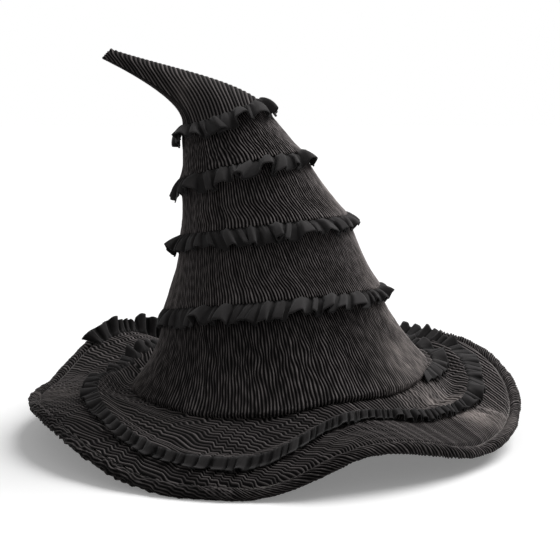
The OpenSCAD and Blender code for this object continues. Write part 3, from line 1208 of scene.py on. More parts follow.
@dataclass(frozen=True)
class CrownRuffle:
    """A gathered ruffle sewn into a crown seam, hanging out and down from it.

    Attributes:
        name: name of the piece.
        node: part of the hat that it dresses.
        rests_on: part that it lies against.
        seam: the seam that holds it.
        flutes: its folds.
        cut: flat cut of the cloth.
        width: width from the seam to the free edge.
        drop: how steeply it hangs, in degrees.
        gather_in: how far the free edge is pushed towards the front and the back.
        hang: how much more steeply it hangs at its left end, in degrees.
        trim: share by which it is narrower at its right end.
        rows: grid rows from the seam to the free edge.
        thickness: thickness of the cloth.
        sewn_in: how far its root goes into the seam.
        flare: how far the wall under it widens for each unit down.
        clear: how far it keeps clear of that wall.
    """

    name: str
    node: str
    rests_on: str
    seam: Seam
    flutes: Flutes
    cut: Cut
    width: float = 16.0
    drop: float = 43.0
    gather_in: float = 6.5
    hang: float = 0.0
    trim: float = 0.0
    rows: int = 11
    thickness: float = 0.8
    sewn_in: float = 2.0
    flare: float = 0.45
    clear: float = 2.2

    def shape(self, column: Array, row: Array) -> Shape:
        """Give the points of the ruffle.

        Args:
            column: each point's column.
            row: each point's row.

        Returns:
            The bent cloth.
        """
        sewn, free, height, turned = self.flutes.edges()
        out = np.clip((row - 1) / (self.rows - 1), 0, 1)
        seed = self.flutes.seed
        start = TAU * sewn[column] / self.flutes.count
        slip = 3.2 * Drift(seed + 1, 5, 17, 0.1).at(start, 0.0) + self.gather_in * np.sin(2 * start)
        slip = slip / self.seam.r
        angle = mix(start, TAU * free[column] / self.flutes.count + slip, out)
        fold = TAU * self.seam.r / self.flutes.count * height[column]
        fold = (fold - 2.6) * (0.25 + 0.75 * out**0.8) * np.minimum(1, row)
        # Painted shade: darker in the gaps between the folds and near the seam; painted light: lighter
        # towards the right end.
        shade = 0.4 + 0.6 * smooth(height[column] / 0.5 + 0.2 * (1 - out))
        shade = shade * (1 + 0.3 * np.maximum(0, np.cos(start)))
        gather = np.sin(TAU * 3 * column / self.flutes.columns)
        fold = fold + 0.55 * gather * (1 - out) ** 2 * np.minimum(1, row)
        width = self.width * (1 + 0.1 * Drift(seed + 2, 3, 13, 0.1).at(start, 0.0))
        width = width * (1 - self.trim * np.maximum(0, np.cos(start)) ** 3)
        drop = self.drop + self.seam.tilt * np.cos(start)
        drop = drop + 10 * Drift(seed + 3, 3, 15, 0.1).at(start, 0.0) + 24 * turned[column]
        drop = drop + self.hang * np.maximum(0, -np.cos(start)) ** 3
        drop = np.radians(drop * (0.55 + 0.45 * out))
        reach = width * out
        radius = self.seam.r + reach * np.cos(drop) + fold * np.sin(drop)
        radius = radius - self.sewn_in * (row == 0) + 0.6
        rise = fold * np.cos(drop) - reach * np.sin(drop)
        wall = self.seam.r + self.flare * np.maximum(0, -rise) + self.clear * np.minimum(1, 4 * out)
        radius = np.where(row == 0, radius, np.maximum(radius, wall))
        up = self.seam.front * self.seam.lift(angle)
        radius = radius - self.seam.slope * up
        x, z = self.seam.x + self.seam.lean * up, self.seam.z + up
        point = ring(x, z, radius, self.seam.tilt, angle, rise)
        pitch = self.cut.length / self.flutes.count
        along = column / self.flutes.columns * pitch
        cloth = on_cloth(along, row / self.rows * self.cut.width)
        return Shape(point, cloth, shade, np.zeros(len(column)))

    def build(self, finish: Material) -> Piece:
        """Make the ruffle and dress it.

        Args:
            finish: finish of the cloth.

        Returns:
            The new piece.
        """
        columns = self.flutes.count * self.flutes.columns
        piece = make_cloth(self.name, columns, self.rows, self.shape, Facing.OUT)
        thicken(piece, self.thickness)
        dress(piece, finish)
        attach(piece, Body.CROWN.value)
        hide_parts(self.node)
        self.cut.declare(piece, Held.GATHERED, [self.rests_on])
        return piece


@dataclass(frozen=True)
class Tip:
    """The bent-over point of the hat, its pleats wound round it on the slant.

    Attributes:
        seam: the seam at its foot.
        bends: offsets from the seam's middle of the points that bend its line.
        end_r: radius of the blunt end.
        taper: how quickly it narrows.
        end_tilt: tilt of its rings at the end.
        pitch: width of a pleat.
        foot_lie: slope of the pleats at the seam, in degrees.
        lie: slope at which they lie over the point, in degrees.
        under_count: pleats round the tip where they run along it, on its hollow side.
        rise: half the height from valley to ridge.
        columns: grid columns round it.
        rows: grid rows along it.
        cap_rows: grid rows of its closed end.
        cut: flat cut of the cloth.
        seed: start of the random draw.
        drawn: pleats after which their tones repeat.
        flattened: share of the pleats' height that rubbing takes away.
        soft: length of its foot that bends between the crown and the tip; not used.
    """

    seam: Seam = TOP
    bends: tuple[tuple[float, float], ...] = ((-9.6, 15.9), (-41.8, 28.8), (-93.5, 49))
    end_r: float = 5.6
    taper: float = 1.27
    end_tilt: float = 46.0
    pitch: float = 2.7
    foot_lie: float = 71.0
    lie: float = 61.0
    under_count: int = 60
    rise: float = 0.75
    columns: int = 360
    rows: int = 176
    cap_rows: int = 6
    cut: Cut = Cut(150, 230, 17000)
    seed: int = 73
    drawn: int = 97
    flattened: float = 0.7
    soft: float = 22.0

    def line(self, share: Array) -> tuple[Array, Array]:
        """Give the bent line through the tip.

        Args:
            share: share of the tip's length.

        Returns:
            Sideways place and height of each point.
        """
        (ax, az), (bx, bz), (cx, cz) = self.bends
        first = 3 * share * (1 - share) ** 2
        second = 3 * share**2 * (1 - share)
        third = share**3
        x = self.seam.x + first * ax + second * bx + third * cx
        return x, self.seam.z + first * az + second * bz + third * cz

    def phase(self, share: Array, place: Array) -> Array:
        """Give the place across the pleats, which stand steeply at the seam and then lie over.

        Args:
            share: share of the tip's length.
            place: X, Y and Z of each point.

        Returns:
            The place across the pleats, in pleats.
        """
        lean = np.radians(mix(self.foot_lie, self.lie, smooth(share / 0.7)))
        across = (place[:, 0] - self.seam.x) * np.sin(lean)
        return (across + (place[:, 2] - self.seam.z) * np.cos(lean)) / self.pitch

    def radius(self, share: Array) -> Array:
        """Return the tip's radius at a share of its length."""
        return self.end_r + (self.seam.r - self.end_r) * (1 - share) ** self.taper

    def shape(self, column: Array, row: Array) -> Shape:
        """Give the points of the tip.

        Args:
            column: each point's column.
            row: each point's row.

        Returns:
            The bent cloth.
        """
        last = self.rows - self.cap_rows
        share = np.clip((row - 1) / (last - 1), 0, 1)
        closing = np.clip((row - last) / self.cap_rows, 0, 1)
        angle = TAU * column / self.columns + math.pi / 2
        x, z = self.line(share)
        tilt = mix(self.seam.tilt, self.end_tilt, share)
        plain = ring(x, z, self.radius(share), tilt, angle, 0.0)
        phase = self.phase(share, plain) + 0.3 * Drift(71, 1, 5, 1.2).at(angle, share)
        below = smooth((0.8 - np.abs(angle % TAU - math.pi)) / 0.25)
        phase = np.where(below > 0.5, angle * self.under_count / TAU + 0.4 * np.sin(9 * share), phase)
        swell = 1 - np.abs(2 * (phase - np.floor(phase)) - 1) ** 1.6
        swell = mix(swell, 0.35, 1 - np.abs(2 * below - 1))
        number = np.floor(phase).astype(int) % self.drawn
        tone = np.random.default_rng(self.seed).normal(0, 1, self.drawn)[number]
        depth = self.rise * (1 - self.flattened * rubbed_and_sheen(plain)) * mix(1.0, 0.5, share)
        radius = self.radius(share) + depth * (2 * swell - 1) - 3.0 * (row == 0)
        radius = radius * np.sqrt(np.maximum(0, 1 - closing**2))
        ragged = 0.7 * smooth((share - 0.94) / 0.06) * (2 * swell - 1) * (1 - closing)
        point = ring(x, z, radius, tilt, angle, ragged + 1.6 * np.sin(closing * math.pi))
        cloth = on_cloth(phase * PLEAT_CLOTH, share * self.cut.width)
        return Shape(point, cloth, swell, tone - 2.3)

    def build(self, finish: Material) -> Piece:
        """Make the tip and dress it.

        Args:
            finish: finish of the cloth.

        Returns:
            The new piece.
        """
        piece = make_cloth("tip_pleats", self.columns, self.rows, self.shape, Facing.OUT)
        dress(piece, finish)
        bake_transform(piece)
        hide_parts("tip_cone")
        self.cut.declare(piece, Held.FOLDED, ["upper_tier"])
        return piece


@dataclass(frozen=True)
class Spiral:
    """The line of the brim ruffle, which winds out over the brim from the crown's foot.

    Attributes:
        shares: angle round the brim and share of the open brim crossed there.
        inner: radius at which the open brim starts.
        outer: radius at which it ends.
    """

    shares: Table = (
        (342, 0), (378, 0.17), (516, 0.13), (616, 0.75), (661, 0.32), (712, 0.52), (869, 0.9),
    )
    inner: float = 130.0
    outer: float = 199.5

    @property
    def start(self) -> float:
        """Angle at which the ruffle starts, in degrees."""
        return self.shares[0][0]

    @property
    def end(self) -> float:
        """Angle at which the ruffle ends, in degrees."""
        return self.shares[-1][0]

    def radius(self, degrees: Array) -> Array:
        """Return the radius of the line at an angle that keeps counting past a full turn."""
        return mix(self.inner, self.outer, eased(self.shares, degrees))


SPIRAL = Spiral()


@dataclass(frozen=True)
class BrimPleats:
    """The straight pleats of the brim's cloth, which was pleated flat before it was cut.

    Attributes:
        lie: direction of the pleats at the hat's middle, seen from above, in degrees from X.
        fan: distance along that direction at which the pleats would meet.
        sways: sideways place and half the height of the zigzags there.
        zigzag: length of one zigzag.
        seed: start of the random draw.
        drawn: pleats after which their sizes and tones repeat.
    """

    lie: float = -50.0
    fan: float = 800.0
    sways: Table = ((-200, 0.7), (-60, 1.2), (60, 0.9), (120, 0.35), (220, 0.3))
    zigzag: float = 13.0
    seed: int = 201
    drawn: int = 509

    def section(self, degrees: Array, radius: Array, pitch: float) -> tuple[Array, Array]:
        """Give the section across the pleats.

        Args:
            degrees: angle of each point.
            radius: radius of each point.
            pitch: width of a pleat at the hat's middle.

        Returns:
            Swell from 0 in a valley to about 1 on a ridge, and tone.
        """
        angle = np.radians(degrees)
        x, y = radius * np.cos(angle), radius * np.sin(angle)
        lie = math.radians(self.lie)
        ahead = self.fan * math.cos(lie) - x
        aside = self.fan * math.sin(lie) - y
        along = self.fan - np.hypot(ahead, aside)
        across = self.fan * (np.arctan2(aside, ahead) - lie)
        out = radius / 90
        tooth = along / self.zigzag + 0.9 * Drift(self.seed, 3, 14, 0.9).at(angle, out)
        tooth = tooth - np.floor(tooth)
        step = np.where(tooth < 0.66, tooth / 0.66, (1 - tooth) / 0.34) * 2 - 1
        step = np.sin(step * math.pi / 2) * 0.5 + step * 0.5
        height = eased(self.sways, x) * (1 + 0.5 * Drift(self.seed + 3, 4, 13, 0.8).at(angle, out))
        wander = 1.1 * Drift(self.seed + 1, 2, 9, 0.5).at(angle, out)
        phase = (across + height * step + wander) / pitch
        number = np.floor(phase).astype(int) % self.drawn
        draw = np.random.default_rng(self.seed + 2)
        size = draw.uniform(0.88, 1.1, self.drawn)[number]
        swell = size * (1 - np.abs(2 * (phase - np.floor(phase)) - 1) ** 1.25)
        return swell, draw.normal(0, 0.7, self.drawn)[number]


BRIM_PLEATS = BrimPleats()


@dataclass(frozen=True)
class BrimStrip:
    """A strip of pleated cloth on the brim, from the crown or ruffle out to the hem.

    Attributes:
        name: name of the piece.
        first: angle at which it starts, in degrees.
        last: angle at which it ends, in degrees.
        columns: grid columns along it.
        rows: grid rows across it.
        cut: flat cut of the cloth.
        pitch: width of a pleat at the hat's middle.
        rise: half the height from valley to ridge.
        lip_rows: grid rows of the lip at its outer edge.
        under: how far it lies below the next strip.
        frayed: whether its end shows as a frayed edge.
        flattened: share of the pleats' height that rubbing takes away.
    """

    name: str
    first: float
    last: float
    columns: int
    rows: int
    cut: Cut
    pitch: float = 2.9
    rise: float = 0.8
    lip_rows: int = 0
    under: float = 0.0
    frayed: bool = False
    flattened: float = 0.35

    def edges(self, degrees: Array) -> tuple[Array, Array]:
        """Return the radius of the strip's inner and outer edge at each angle."""
        shape = degrees.shape
        return np.full(shape, BRIM.seam_r), np.full(shape, BRIM.edge_r)

    def raised(self, degrees: Array, radius: Array) -> Array:
        """Return how far the strip stands above or below the brim's plain top."""
        return np.full(np.broadcast(degrees, radius).shape, -self.under)

    def shape(self, column: Array, row: Array) -> Shape:
        """Give the points of the strip.

        Args:
            column: each point's column.
            row: each point's row.

        Returns:
            The bent cloth.
        """
        degrees = mix(self.first, self.last, column / self.columns)
        angle = np.radians(degrees)
        inside, outside = self.edges(degrees)
        radius = mix(inside, outside, np.minimum(row, self.rows) / self.rows)
        swell, tone = BRIM_PLEATS.section(degrees, radius, self.pitch)
        if self.frayed:
            ragged = 0.5 * np.sin(radius * 0.9) + 0.4 * np.sin(radius * 2.3)
            edge = smooth((degrees - self.last + 1.7 + ragged) / 1.4)
            swell = mix(swell, 0.8, edge)
            tone = tone + 0.4 * edge
        z = BRIM.top(radius, angle)
        worn = rubbed_and_sheen(polar(radius, angle, z))
        out = radius / 60
        z = z + self.rise * (1 - self.flattened * worn) * (2 * swell - 1)
        z = z + self.raised(degrees, radius) + 0.5 * Drift(85, 5, 15, 1.2).at(angle, out)
        crumple = worn * Drift(87, 40, 160, 7.0, 14).at(angle, out)
        z = z + 0.6 * crumple
        # Painted highlight: the cloth is painted lighter where the crumples rise.
        tone = tone + 1.5 * crumple
        if self.lip_rows:
            lip = np.clip((row - self.rows) / self.lip_rows, 0, 1)
            radius = radius + 1.4 * np.sin(lip * math.pi) - 2.0 * lip
            z = z - lip * (1.0 + self.raised(degrees, outside))
        point = BRIM.spread(polar(radius, angle, z))
        cloth = on_cloth(degrees * DEGREE_CLOTH, radius)
        # The tone adds painted light and shade by the angle round the brim, lighter at the right and
        # darker at the front.
        return Shape(point, cloth, np.clip(swell, 0, 1), tone + eased(BRIM_PAINTED_LIGHT, degrees % 360))

    def build(self, finish: Material) -> Piece:
        """Make the strip and dress it.

        Args:
            finish: finish of the cloth.

        Returns:
            The new piece.
        """
        rows = self.rows + self.lip_rows
        piece = make_cloth(self.name, self.columns, rows, self.shape, Facing.UP)
        dress(piece, finish)
        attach(piece, Body.CROWN.value)
        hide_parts("brim_cover")
        self.cut.declare(piece, Held.LAID, ["brim_stiffening_sheet"])
        return piece


@dataclass(frozen=True)
class InnerStrip(BrimStrip):
    """A strip between the crown's foot and the ruffle, lifted at the ruffle.

    Attributes:
        lip_rows: grid rows of the lip at its outer edge.
        lift: how far it rises to the ruffle.
        ramp: distance over which it rises.
    """

    lip_rows: int = 4
    lift: float = 6.4
    ramp: float = 16.0

    def edges(self, degrees: Array) -> tuple[Array, Array]:
        """Return the radius of the inner edge, under the foot, and of the ruffle's line."""
        outside = SPIRAL.radius(degrees)
        return np.minimum(FOOT.edge(np.radians(degrees)) - 4, outside - 3), outside

    def lifted(self, degrees: Array, radius: Array) -> Array:
        """Return how far the strip rises to the ruffle at each angle and radius."""
        return self.lift * smooth(1 - (SPIRAL.radius(degrees) - radius) / self.ramp)

    def raised(self, degrees: Array, radius: Array) -> Array:
        """Give the lift towards the ruffle and the creases in the slack cloth beside the foot.

        Args:
            degrees: angle of each point.
            radius: radius of each point.

        Returns:
            The height above the brim's plain top.
        """
        lift = self.lifted(degrees, radius) * smooth((degrees - SPIRAL.start) / 16)
        slack = hill(degrees, 697, 12) * smooth((radius - 127) / 10)
        wave = np.maximum(0, np.sin(TAU * (degrees / 7.0 + radius / 50)))
        return lift + slack * (0.3 + 1.6 * wave)


@dataclass(frozen=True)
class TailStrip(InnerStrip):
    """The strip between the first and the second turn of the ruffle."""

    def edges(self, degrees: Array) -> tuple[Array, Array]:
        """Return the radius of the ruffle's first and second turn."""
        return SPIRAL.radius(degrees - 360) - 5, SPIRAL.radius(degrees)

    def raised(self, degrees: Array, radius: Array) -> Array:
        """Give the lift towards the ruffle, which dies away along the strip.

        Args:
            degrees: angle of each point.
            radius: radius of each point.

        Returns:
            The height above the brim's plain top.
        """
        under = 1.8 * smooth((self.first + 10 - degrees) / 6)
        return self.lifted(degrees, radius) * smooth((self.last - degrees) / 50) - under


@dataclass(frozen=True)
class OuterStrip(BrimStrip):
    """A strip between the ruffle and the hem.

    Attributes:
        turns: degrees to add for the turn of the ruffle that it runs in under.
        tuck: how far it runs in under the ruffle's line.
        groove: how far it dips beside the hem.
    """

    turns: float = 0.0
    tuck: float = 8.0
    groove: float = 3.4

    def edges(self, degrees: Array) -> tuple[Array, Array]:
        """Return the radius of the inner edge, under the ruffle, and of the edge in the hem."""
        inside = SPIRAL.radius(degrees + self.turns) - self.tuck
        return inside, np.full(degrees.shape, BRIM.edge_r - 3.6)

    def raised(self, degrees: Array, radius: Array) -> Array:
        """Give the dip beside the hem, faint where the pleats run out over the edge.

        Args:
            degrees: angle of each point.
            radius: radius of each point.

        Returns:
            The height above the brim's plain top, below 0 in the dip.
        """
        faint = 1 - 0.9 * hill(degrees % 360, RUN_OUT, 26)
        dip = smooth((radius - BRIM.edge_r + 8.6) / 5)
        return -self.groove * faint * dip - self.under


@dataclass(frozen=True)
class BrimRuffle:
    """The small-folded ruffle in one spiral over the brim.

    Attributes:
        flutes: its folds.
        widths: angle along the spiral and width from the seam to the free edge there.
        lifts: angle along the spiral and how far the ruffle stands up there, in degrees.
        painted_light: angle along the spiral and how light the cloth is painted there: painted light,
            lighter at the right and darker at the front and left.
        cut: flat cut of the cloth.
        notch: angle at which the free edge is caught in, in degrees.
        point: how far the free edge runs on past the end, in degrees.
        rows: grid rows from the seam to the free edge.
        thickness: thickness of the cloth.
        seat: how far its root lies above the brim's cloth.
    """

    flutes: Flutes = Flutes(
        count=162, columns=18, swing=88, seed=101, uneven=0.45, square=0.85, soft=2,
        side=(0.25, 0.33), flat=(0.22, 0.34),
        sizes=(
            (0, 1.2), (0.24, 1.1), (0.3, 0.75), (0.38, 0.8), (0.44, 0.9), (0.62, 0.8), (0.71, 1.2),
            (0.9, 1.2), (0.94, 1), (1, 1),
        ),
    )
    widths: Table = (
        (342, 14), (390, 15), (480, 13), (500, 9), (524, 9), (545, 13), (565, 12), (592, 8.5), (640, 8.5),
        (665, 7), (692, 7), (715, 14), (800, 15), (836, 18), (846, 18), (852, 15), (862, 13), (869, 15),
    )
    lifts: Table = (
        (342, 8), (390, 24), (470, 18), (510, 6), (560, 6), (580, -14), (596, -50), (640, -50),
        (665, -36), (690, -14), (725, 8), (775, 24), (820, 50), (838, 70), (853, 70), (860, 62),
        (869, 40),
    )
    painted_light: Table = (
        (342, 1.2), (500, 0.9), (545, 0.7), (600, 0.6), (680, 0.62), (720, 1.2), (790, 1.1), (869, 1),
    )
    notch: float = 854.0
    point: float = 3.0
    rows: int = 9
    thickness: float = 0.6
    seat: float = 0.9
    cut: Cut = Cut(17, 2400)

    def shape(self, column: Array, row: Array) -> Shape:
        """Give the points of the ruffle.

        Args:
            column: each point's column.
            row: each point's row.

        Returns:
            The bent cloth.
        """
        sewn, free, height, turned = self.flutes.edges()
        turn = np.linspace(SPIRAL.start, SPIRAL.end, 2000)
        path = SPIRAL.radius(turn)
        step = np.hypot(np.diff(path), path[1:] * np.radians(np.diff(turn)))
        run = np.append(0, np.cumsum(step))
        out = np.clip((row - 1) / (self.rows - 1), 0, 1)
        along = mix(sewn[column], free[column], out) / self.flutes.count
        degrees = np.interp(along * run[-1], run, turn)
        degrees = degrees + self.point * out * smooth((along - 0.982) / 0.018)
        angle = np.radians(degrees)
        seed = self.flutes.seed
        root = SPIRAL.radius(degrees)
        ends = np.minimum(1, np.minimum(0.25 + along * 26, 0.8 + (1 - along) * 30))
        uneven = 1 + 0.13 * Drift(seed + 1, 4, 60, 0.1).at(angle, 0.0)
        width = eased(self.widths, degrees) * ends * uneven
        width = width * (1 - 0.6 * hill(degrees, self.notch, 1.2))
        lift = eased(self.lifts, degrees) + 8 * Drift(seed + 2, 5, 48, 0.1).at(angle, 0.0)
        lift = np.radians(lift + 20 * turned[column])
        fold = run[-1] / self.flutes.count * height[column] * ends
        # Painted shade in the gaps between the folds, times the painted light by angle along the spiral.
        shade = (0.14 + 0.86 * smooth(height[column] / 0.45)) * eased(self.painted_light, degrees)
        fold = np.maximum(fold, 0) * (0.3 + 0.7 * out**0.8) * np.minimum(1, row)
        fold = fold + 0.4 * np.sin(TAU * 2 * column / self.flutes.columns) * (1 - out) ** 2
        reach = width * out
        radius = root + reach * np.cos(lift) - fold * np.sin(lift) - 2.5 * (row == 0)
        fade = smooth((770 - degrees) / 50)
        held = BRIM.top(root, angle) + InnerStrip.lift * fade + self.seat - 2.6 * (row == 0)
        slope = (BRIM.top(root + 10, angle) - BRIM.top(root, angle)) / 10
        z = held + reach * (np.sin(lift) + slope * np.cos(lift)) - InnerStrip.lift * 0.75 * out * fade
        z = np.where(row == 0, z, np.maximum(z, BRIM.top(radius, angle) + 1.7)) + fold * np.cos(lift)
        point = BRIM.spread(polar(radius, angle, z))
        pitch = self.cut.length / self.flutes.count
        cloth = on_cloth(column / self.flutes.columns * pitch, out * self.cut.width)
        return Shape(point, cloth, shade, np.zeros(len(column)))

    def build(self, finish: Material) -> Piece:
        """Make the ruffle and dress it.

        Args:
            finish: finish of the cloth.

        Returns:
            The new piece.
        """
        columns = self.flutes.count * self.flutes.columns
        piece = make_cloth("brim_ruffle_folds", columns, self.rows, self.shape, Facing.UP)
        thicken(piece, self.thickness)
        dress(piece, finish)
        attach(piece, Body.CROWN.value)
        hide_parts("brim_ruffle")
        self.cut.declare(piece, Held.GATHERED, ["brim_inner_front"])
        return piece


@dataclass(frozen=True)
class BrimEdge:
    """The brim's hem, wire, middle sheet and underside.

    Attributes:
        hem_pleats: pleats round the hem.
        hem_run: first and last angle of the hem's wound run, in degrees.
        front_run: first and last angle of its run at the front left.
        front_pitch: width of a pleat of that run.
        front_columns: grid columns along that run.
        front_rows: grid rows round that run.
        wound: pleats that a pleat is wound on by, over half the hem's section.
        wound_front: how many more it is wound on by at the front.
        mouth: half the section angle of the hem that is left open to the brim, in degrees.
        hem_rows: grid rows round the hem's wound run.
        wire_r: radius of the wire.
        inset: how far the flat layers end inside the hem's middle.
        core_t: thickness of the middle sheet.
        under_grid: grid columns and rows of the underside.
        core_grid: grid columns and rows of the middle sheet.
        wire_grid: grid columns and rows of the wire.
    """

    hem_pleats: Pleats = Pleats(count=310, columns=7, rise=0.75, seed=111, uneven=0.5)
    hem_run: tuple[float, float] = (258.0, 546.0)
    front_run: tuple[float, float] = (183.0, 262.0)
    front_pitch: float = 3.1
    front_columns: int = 480
    front_rows: int = 40
    wound: float = 3.4
    wound_front: float = 4.5
    mouth: float = 168.0
    hem_rows: int = 16
    wire_r: float = 1.5
    inset: float = 4.4
    core_t: float = 1.6
    under_grid: tuple[int, int] = (360, 44)
    core_grid: tuple[int, int] = (240, 24)
    wire_grid: tuple[int, int] = (300, 10)

    def rolled(self, angle: Array, section: Array, relief: Array) -> Array:
        """Give points on the rolled hem.

        Args:
            angle: angle round the brim in radians.
            section: angle round the roll in radians, 0 outwards.
            relief: height of the pleats, -1 to 1.

        Returns:
            One row of X, Y and Z for each point.
        """
        thick = BRIM.hem_r - 0.7 + 0.35 * Drift(113, 6, 30, 0.4).at(angle, 0.0)
        thick = thick + 0.3 * Drift(115, 40, 110, 1.5).at(angle, section)
        ragged = hill(np.degrees(angle) % 360, RUN_OUT, 30)
        thick = thick + 0.7 * ragged * Drift(116, 90, 200, 1.2).at(angle, section)
        patchy = 0.75 + 0.35 * Drift(114, 7, 30, 0.5).at(angle, 0.0)
        size = thick + self.hem_pleats.rise * patchy * relief
        radius = BRIM.edge_r + size * np.cos(section)
        z = np.maximum(BRIM.hem_z(angle) + BRIM.hem_r + size * np.sin(section), 0.05)
        return BRIM.spread(polar(radius, angle, z))

    def hem(self, column: Array, row: Array) -> Shape:
        """Give the points of the rolled hem.

        Args:
            column: each point's column.
            row: each point's row.

        Returns:
            The bent cloth.
        """
        share = row / self.hem_rows
        place, swell, tone = self.hem_pleats.section(column, share)
        section = np.radians(mix(-self.mouth, self.mouth, share))
        turn = np.radians(mix(*self.hem_run, place / self.hem_pleats.count))
        step = math.radians(self.hem_run[1] - self.hem_run[0]) / self.hem_pleats.count
        waver = 0.5 * Drift(112, 5, 40, 1.0).at(turn, share)
        front = hill(np.degrees(turn), 250, 36)
        plain = 1 - 0.85 * smooth((np.degrees(turn) - 478) / 40)
        wound = (self.wound * plain + self.wound_front * front) * section / math.pi
        angle = turn - step * (wound + waver)
        cloth = on_cloth(place * PLEAT_CLOTH, section * BRIM.hem_r)
        # Part of the brim's painted light and shade by angle goes on the hem.
        tone = tone - 1.6 + 0.6 * eased(BRIM_PAINTED_LIGHT, np.degrees(angle) % 360)
        return Shape(self.rolled(angle, section, 2 * swell - 1), cloth, np.clip(swell, 0, 1), tone)

    def front_hem(self, column: Array, row: Array) -> Shape:
        """Give the points of the hem at the front left, where the brim's pleats run on over it.

        Args:
            column: each point's column.
            row: each point's row.

        Returns:
            The bent cloth.
        """
        degrees = mix(*self.front_run, column / self.front_columns)
        section = np.radians(mix(-self.mouth, self.mouth, row / self.front_rows))
        unrolled = BRIM.edge_r + BRIM.hem_r * (math.pi / 2 - section)
        swell, tone = BRIM_PLEATS.section(degrees, unrolled, self.front_pitch)
        point = self.rolled(np.radians(degrees), section, 2 * swell - 1)
        cloth = on_cloth(degrees * DEGREE_CLOTH, unrolled)
        # The brim's painted light and shade by angle.
        tone = tone + eased(BRIM_PAINTED_LIGHT, degrees % 360)
        return Shape(point, cloth, np.clip(swell, 0, 1), tone)

    def layer(self, column: Array, row: Array, grid: tuple[int, int], up: float) -> Array:
        """Give the points of a plain layer of the brim.

        Args:
            column: each point's column.
            row: each point's row.
            grid: columns and rows of the layer.
            up: height above the brim's middle sheet.

        Returns:
            One row of X, Y and Z for each point.
        """
        angle = TAU * column / grid[0]
        radius = mix(BRIM.seam_r, BRIM.edge_r - self.inset, row / grid[1])
        return BRIM.spread(polar(radius, angle, BRIM.middle(radius, angle) + up))

    def underside(self, column: Array, row: Array) -> Shape:
        """Give the points of the cloth under the brim, slack between the seams.

        Args:
            column: each point's column.
            row: each point's row.

        Returns:
            The bent cloth.
        """
        point = self.layer(column, row, self.under_grid, -BRIM.down)
        angle = TAU * column / self.under_grid[0]
        share = row / self.under_grid[1]
        slack = 0.7 * Drift(121, 9, 40, 1.5).at(angle, share) * np.sin(np.pi * share)
        point[:, 2] -= 0.3 + slack
        return Shape.plain(point, on_cloth(angle * 150, share * 105))

    def core(self, column: Array, row: Array) -> Shape:
        """Give the points of the middle sheet for column and row numbers."""
        point = self.layer(column, row, self.core_grid, 0.0)
        return Shape.plain(point, point[:, :2])

    def wire(self, column: Array, row: Array) -> Shape:
        """Give the points of the wire inside the hem.

        Args:
            column: each point's column.
            row: each point's row.

        Returns:
            The bent cloth.
        """
        angle = TAU * column / self.wire_grid[0]
        section = TAU * row / self.wire_grid[1]
        radius = BRIM.edge_r + self.wire_r * np.cos(section)
        z = BRIM.hem_z(angle) + BRIM.hem_r + self.wire_r * np.sin(section)
        point = BRIM.spread(polar(radius, angle, z))
        return Shape.plain(point, point[:, :2])

    def build(
        self, pleated: Material, plain: Material, sheet: Material, steel: Material
    ) -> list[Piece]:
        """Make and dress the five pieces.

        Args:
            pleated: finish of the hem.
            plain: finish of the underside.
            sheet: finish of the middle sheet.
            steel: finish of the wire.

        Returns:
            The two runs of hem, the underside, the middle sheet and the wire.
        """
        columns = self.hem_pleats.count * self.hem_pleats.columns
        hem = make_cloth("brim_hem_roll", columns, self.hem_rows, self.hem, Facing.OUT)
        front = make_cloth(
            "brim_hem_front", self.front_columns, self.front_rows, self.front_hem, Facing.OUT
        )
        under = make_cloth("brim_underside_cloth", *self.under_grid, self.underside, Facing.DOWN)
        core = make_cloth("brim_stiffening_sheet", *self.core_grid, self.core, Facing.UP)
        wire = make_cloth("brim_edge_wire", *self.wire_grid, self.wire, Facing.OUT)
        thicken(core, self.core_t)
        for piece, node, finish, slot in (
            (hem, "brim_hem", pleated, Slot.PLEATED),
            (front, "brim_hem", pleated, Slot.PLEATED),
            (under, "brim_underside", plain, Slot.UNDER),
            (core, "brim_core", sheet, Slot.CORE),
            (wire, "brim_wire", steel, Slot.WIRE),
        ):
            dress(piece, finish)
            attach(piece, Body.CROWN.value)
            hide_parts(node)
        Cut(40, 1180).declare(hem, Held.FOLDED, ["brim_edge_wire"])
        Cut(38, 320).declare(front, Held.FOLDED, ["brim_edge_wire"])
        Cut(410, 410, 103000).declare(under, Held.STRETCHED, ["brim_stiffening_sheet"])
        Cut(400, 400, 100000).declare(core, Held.LAID, ["brim_underside_cloth"])
        return [hem, front, under, core, wire]


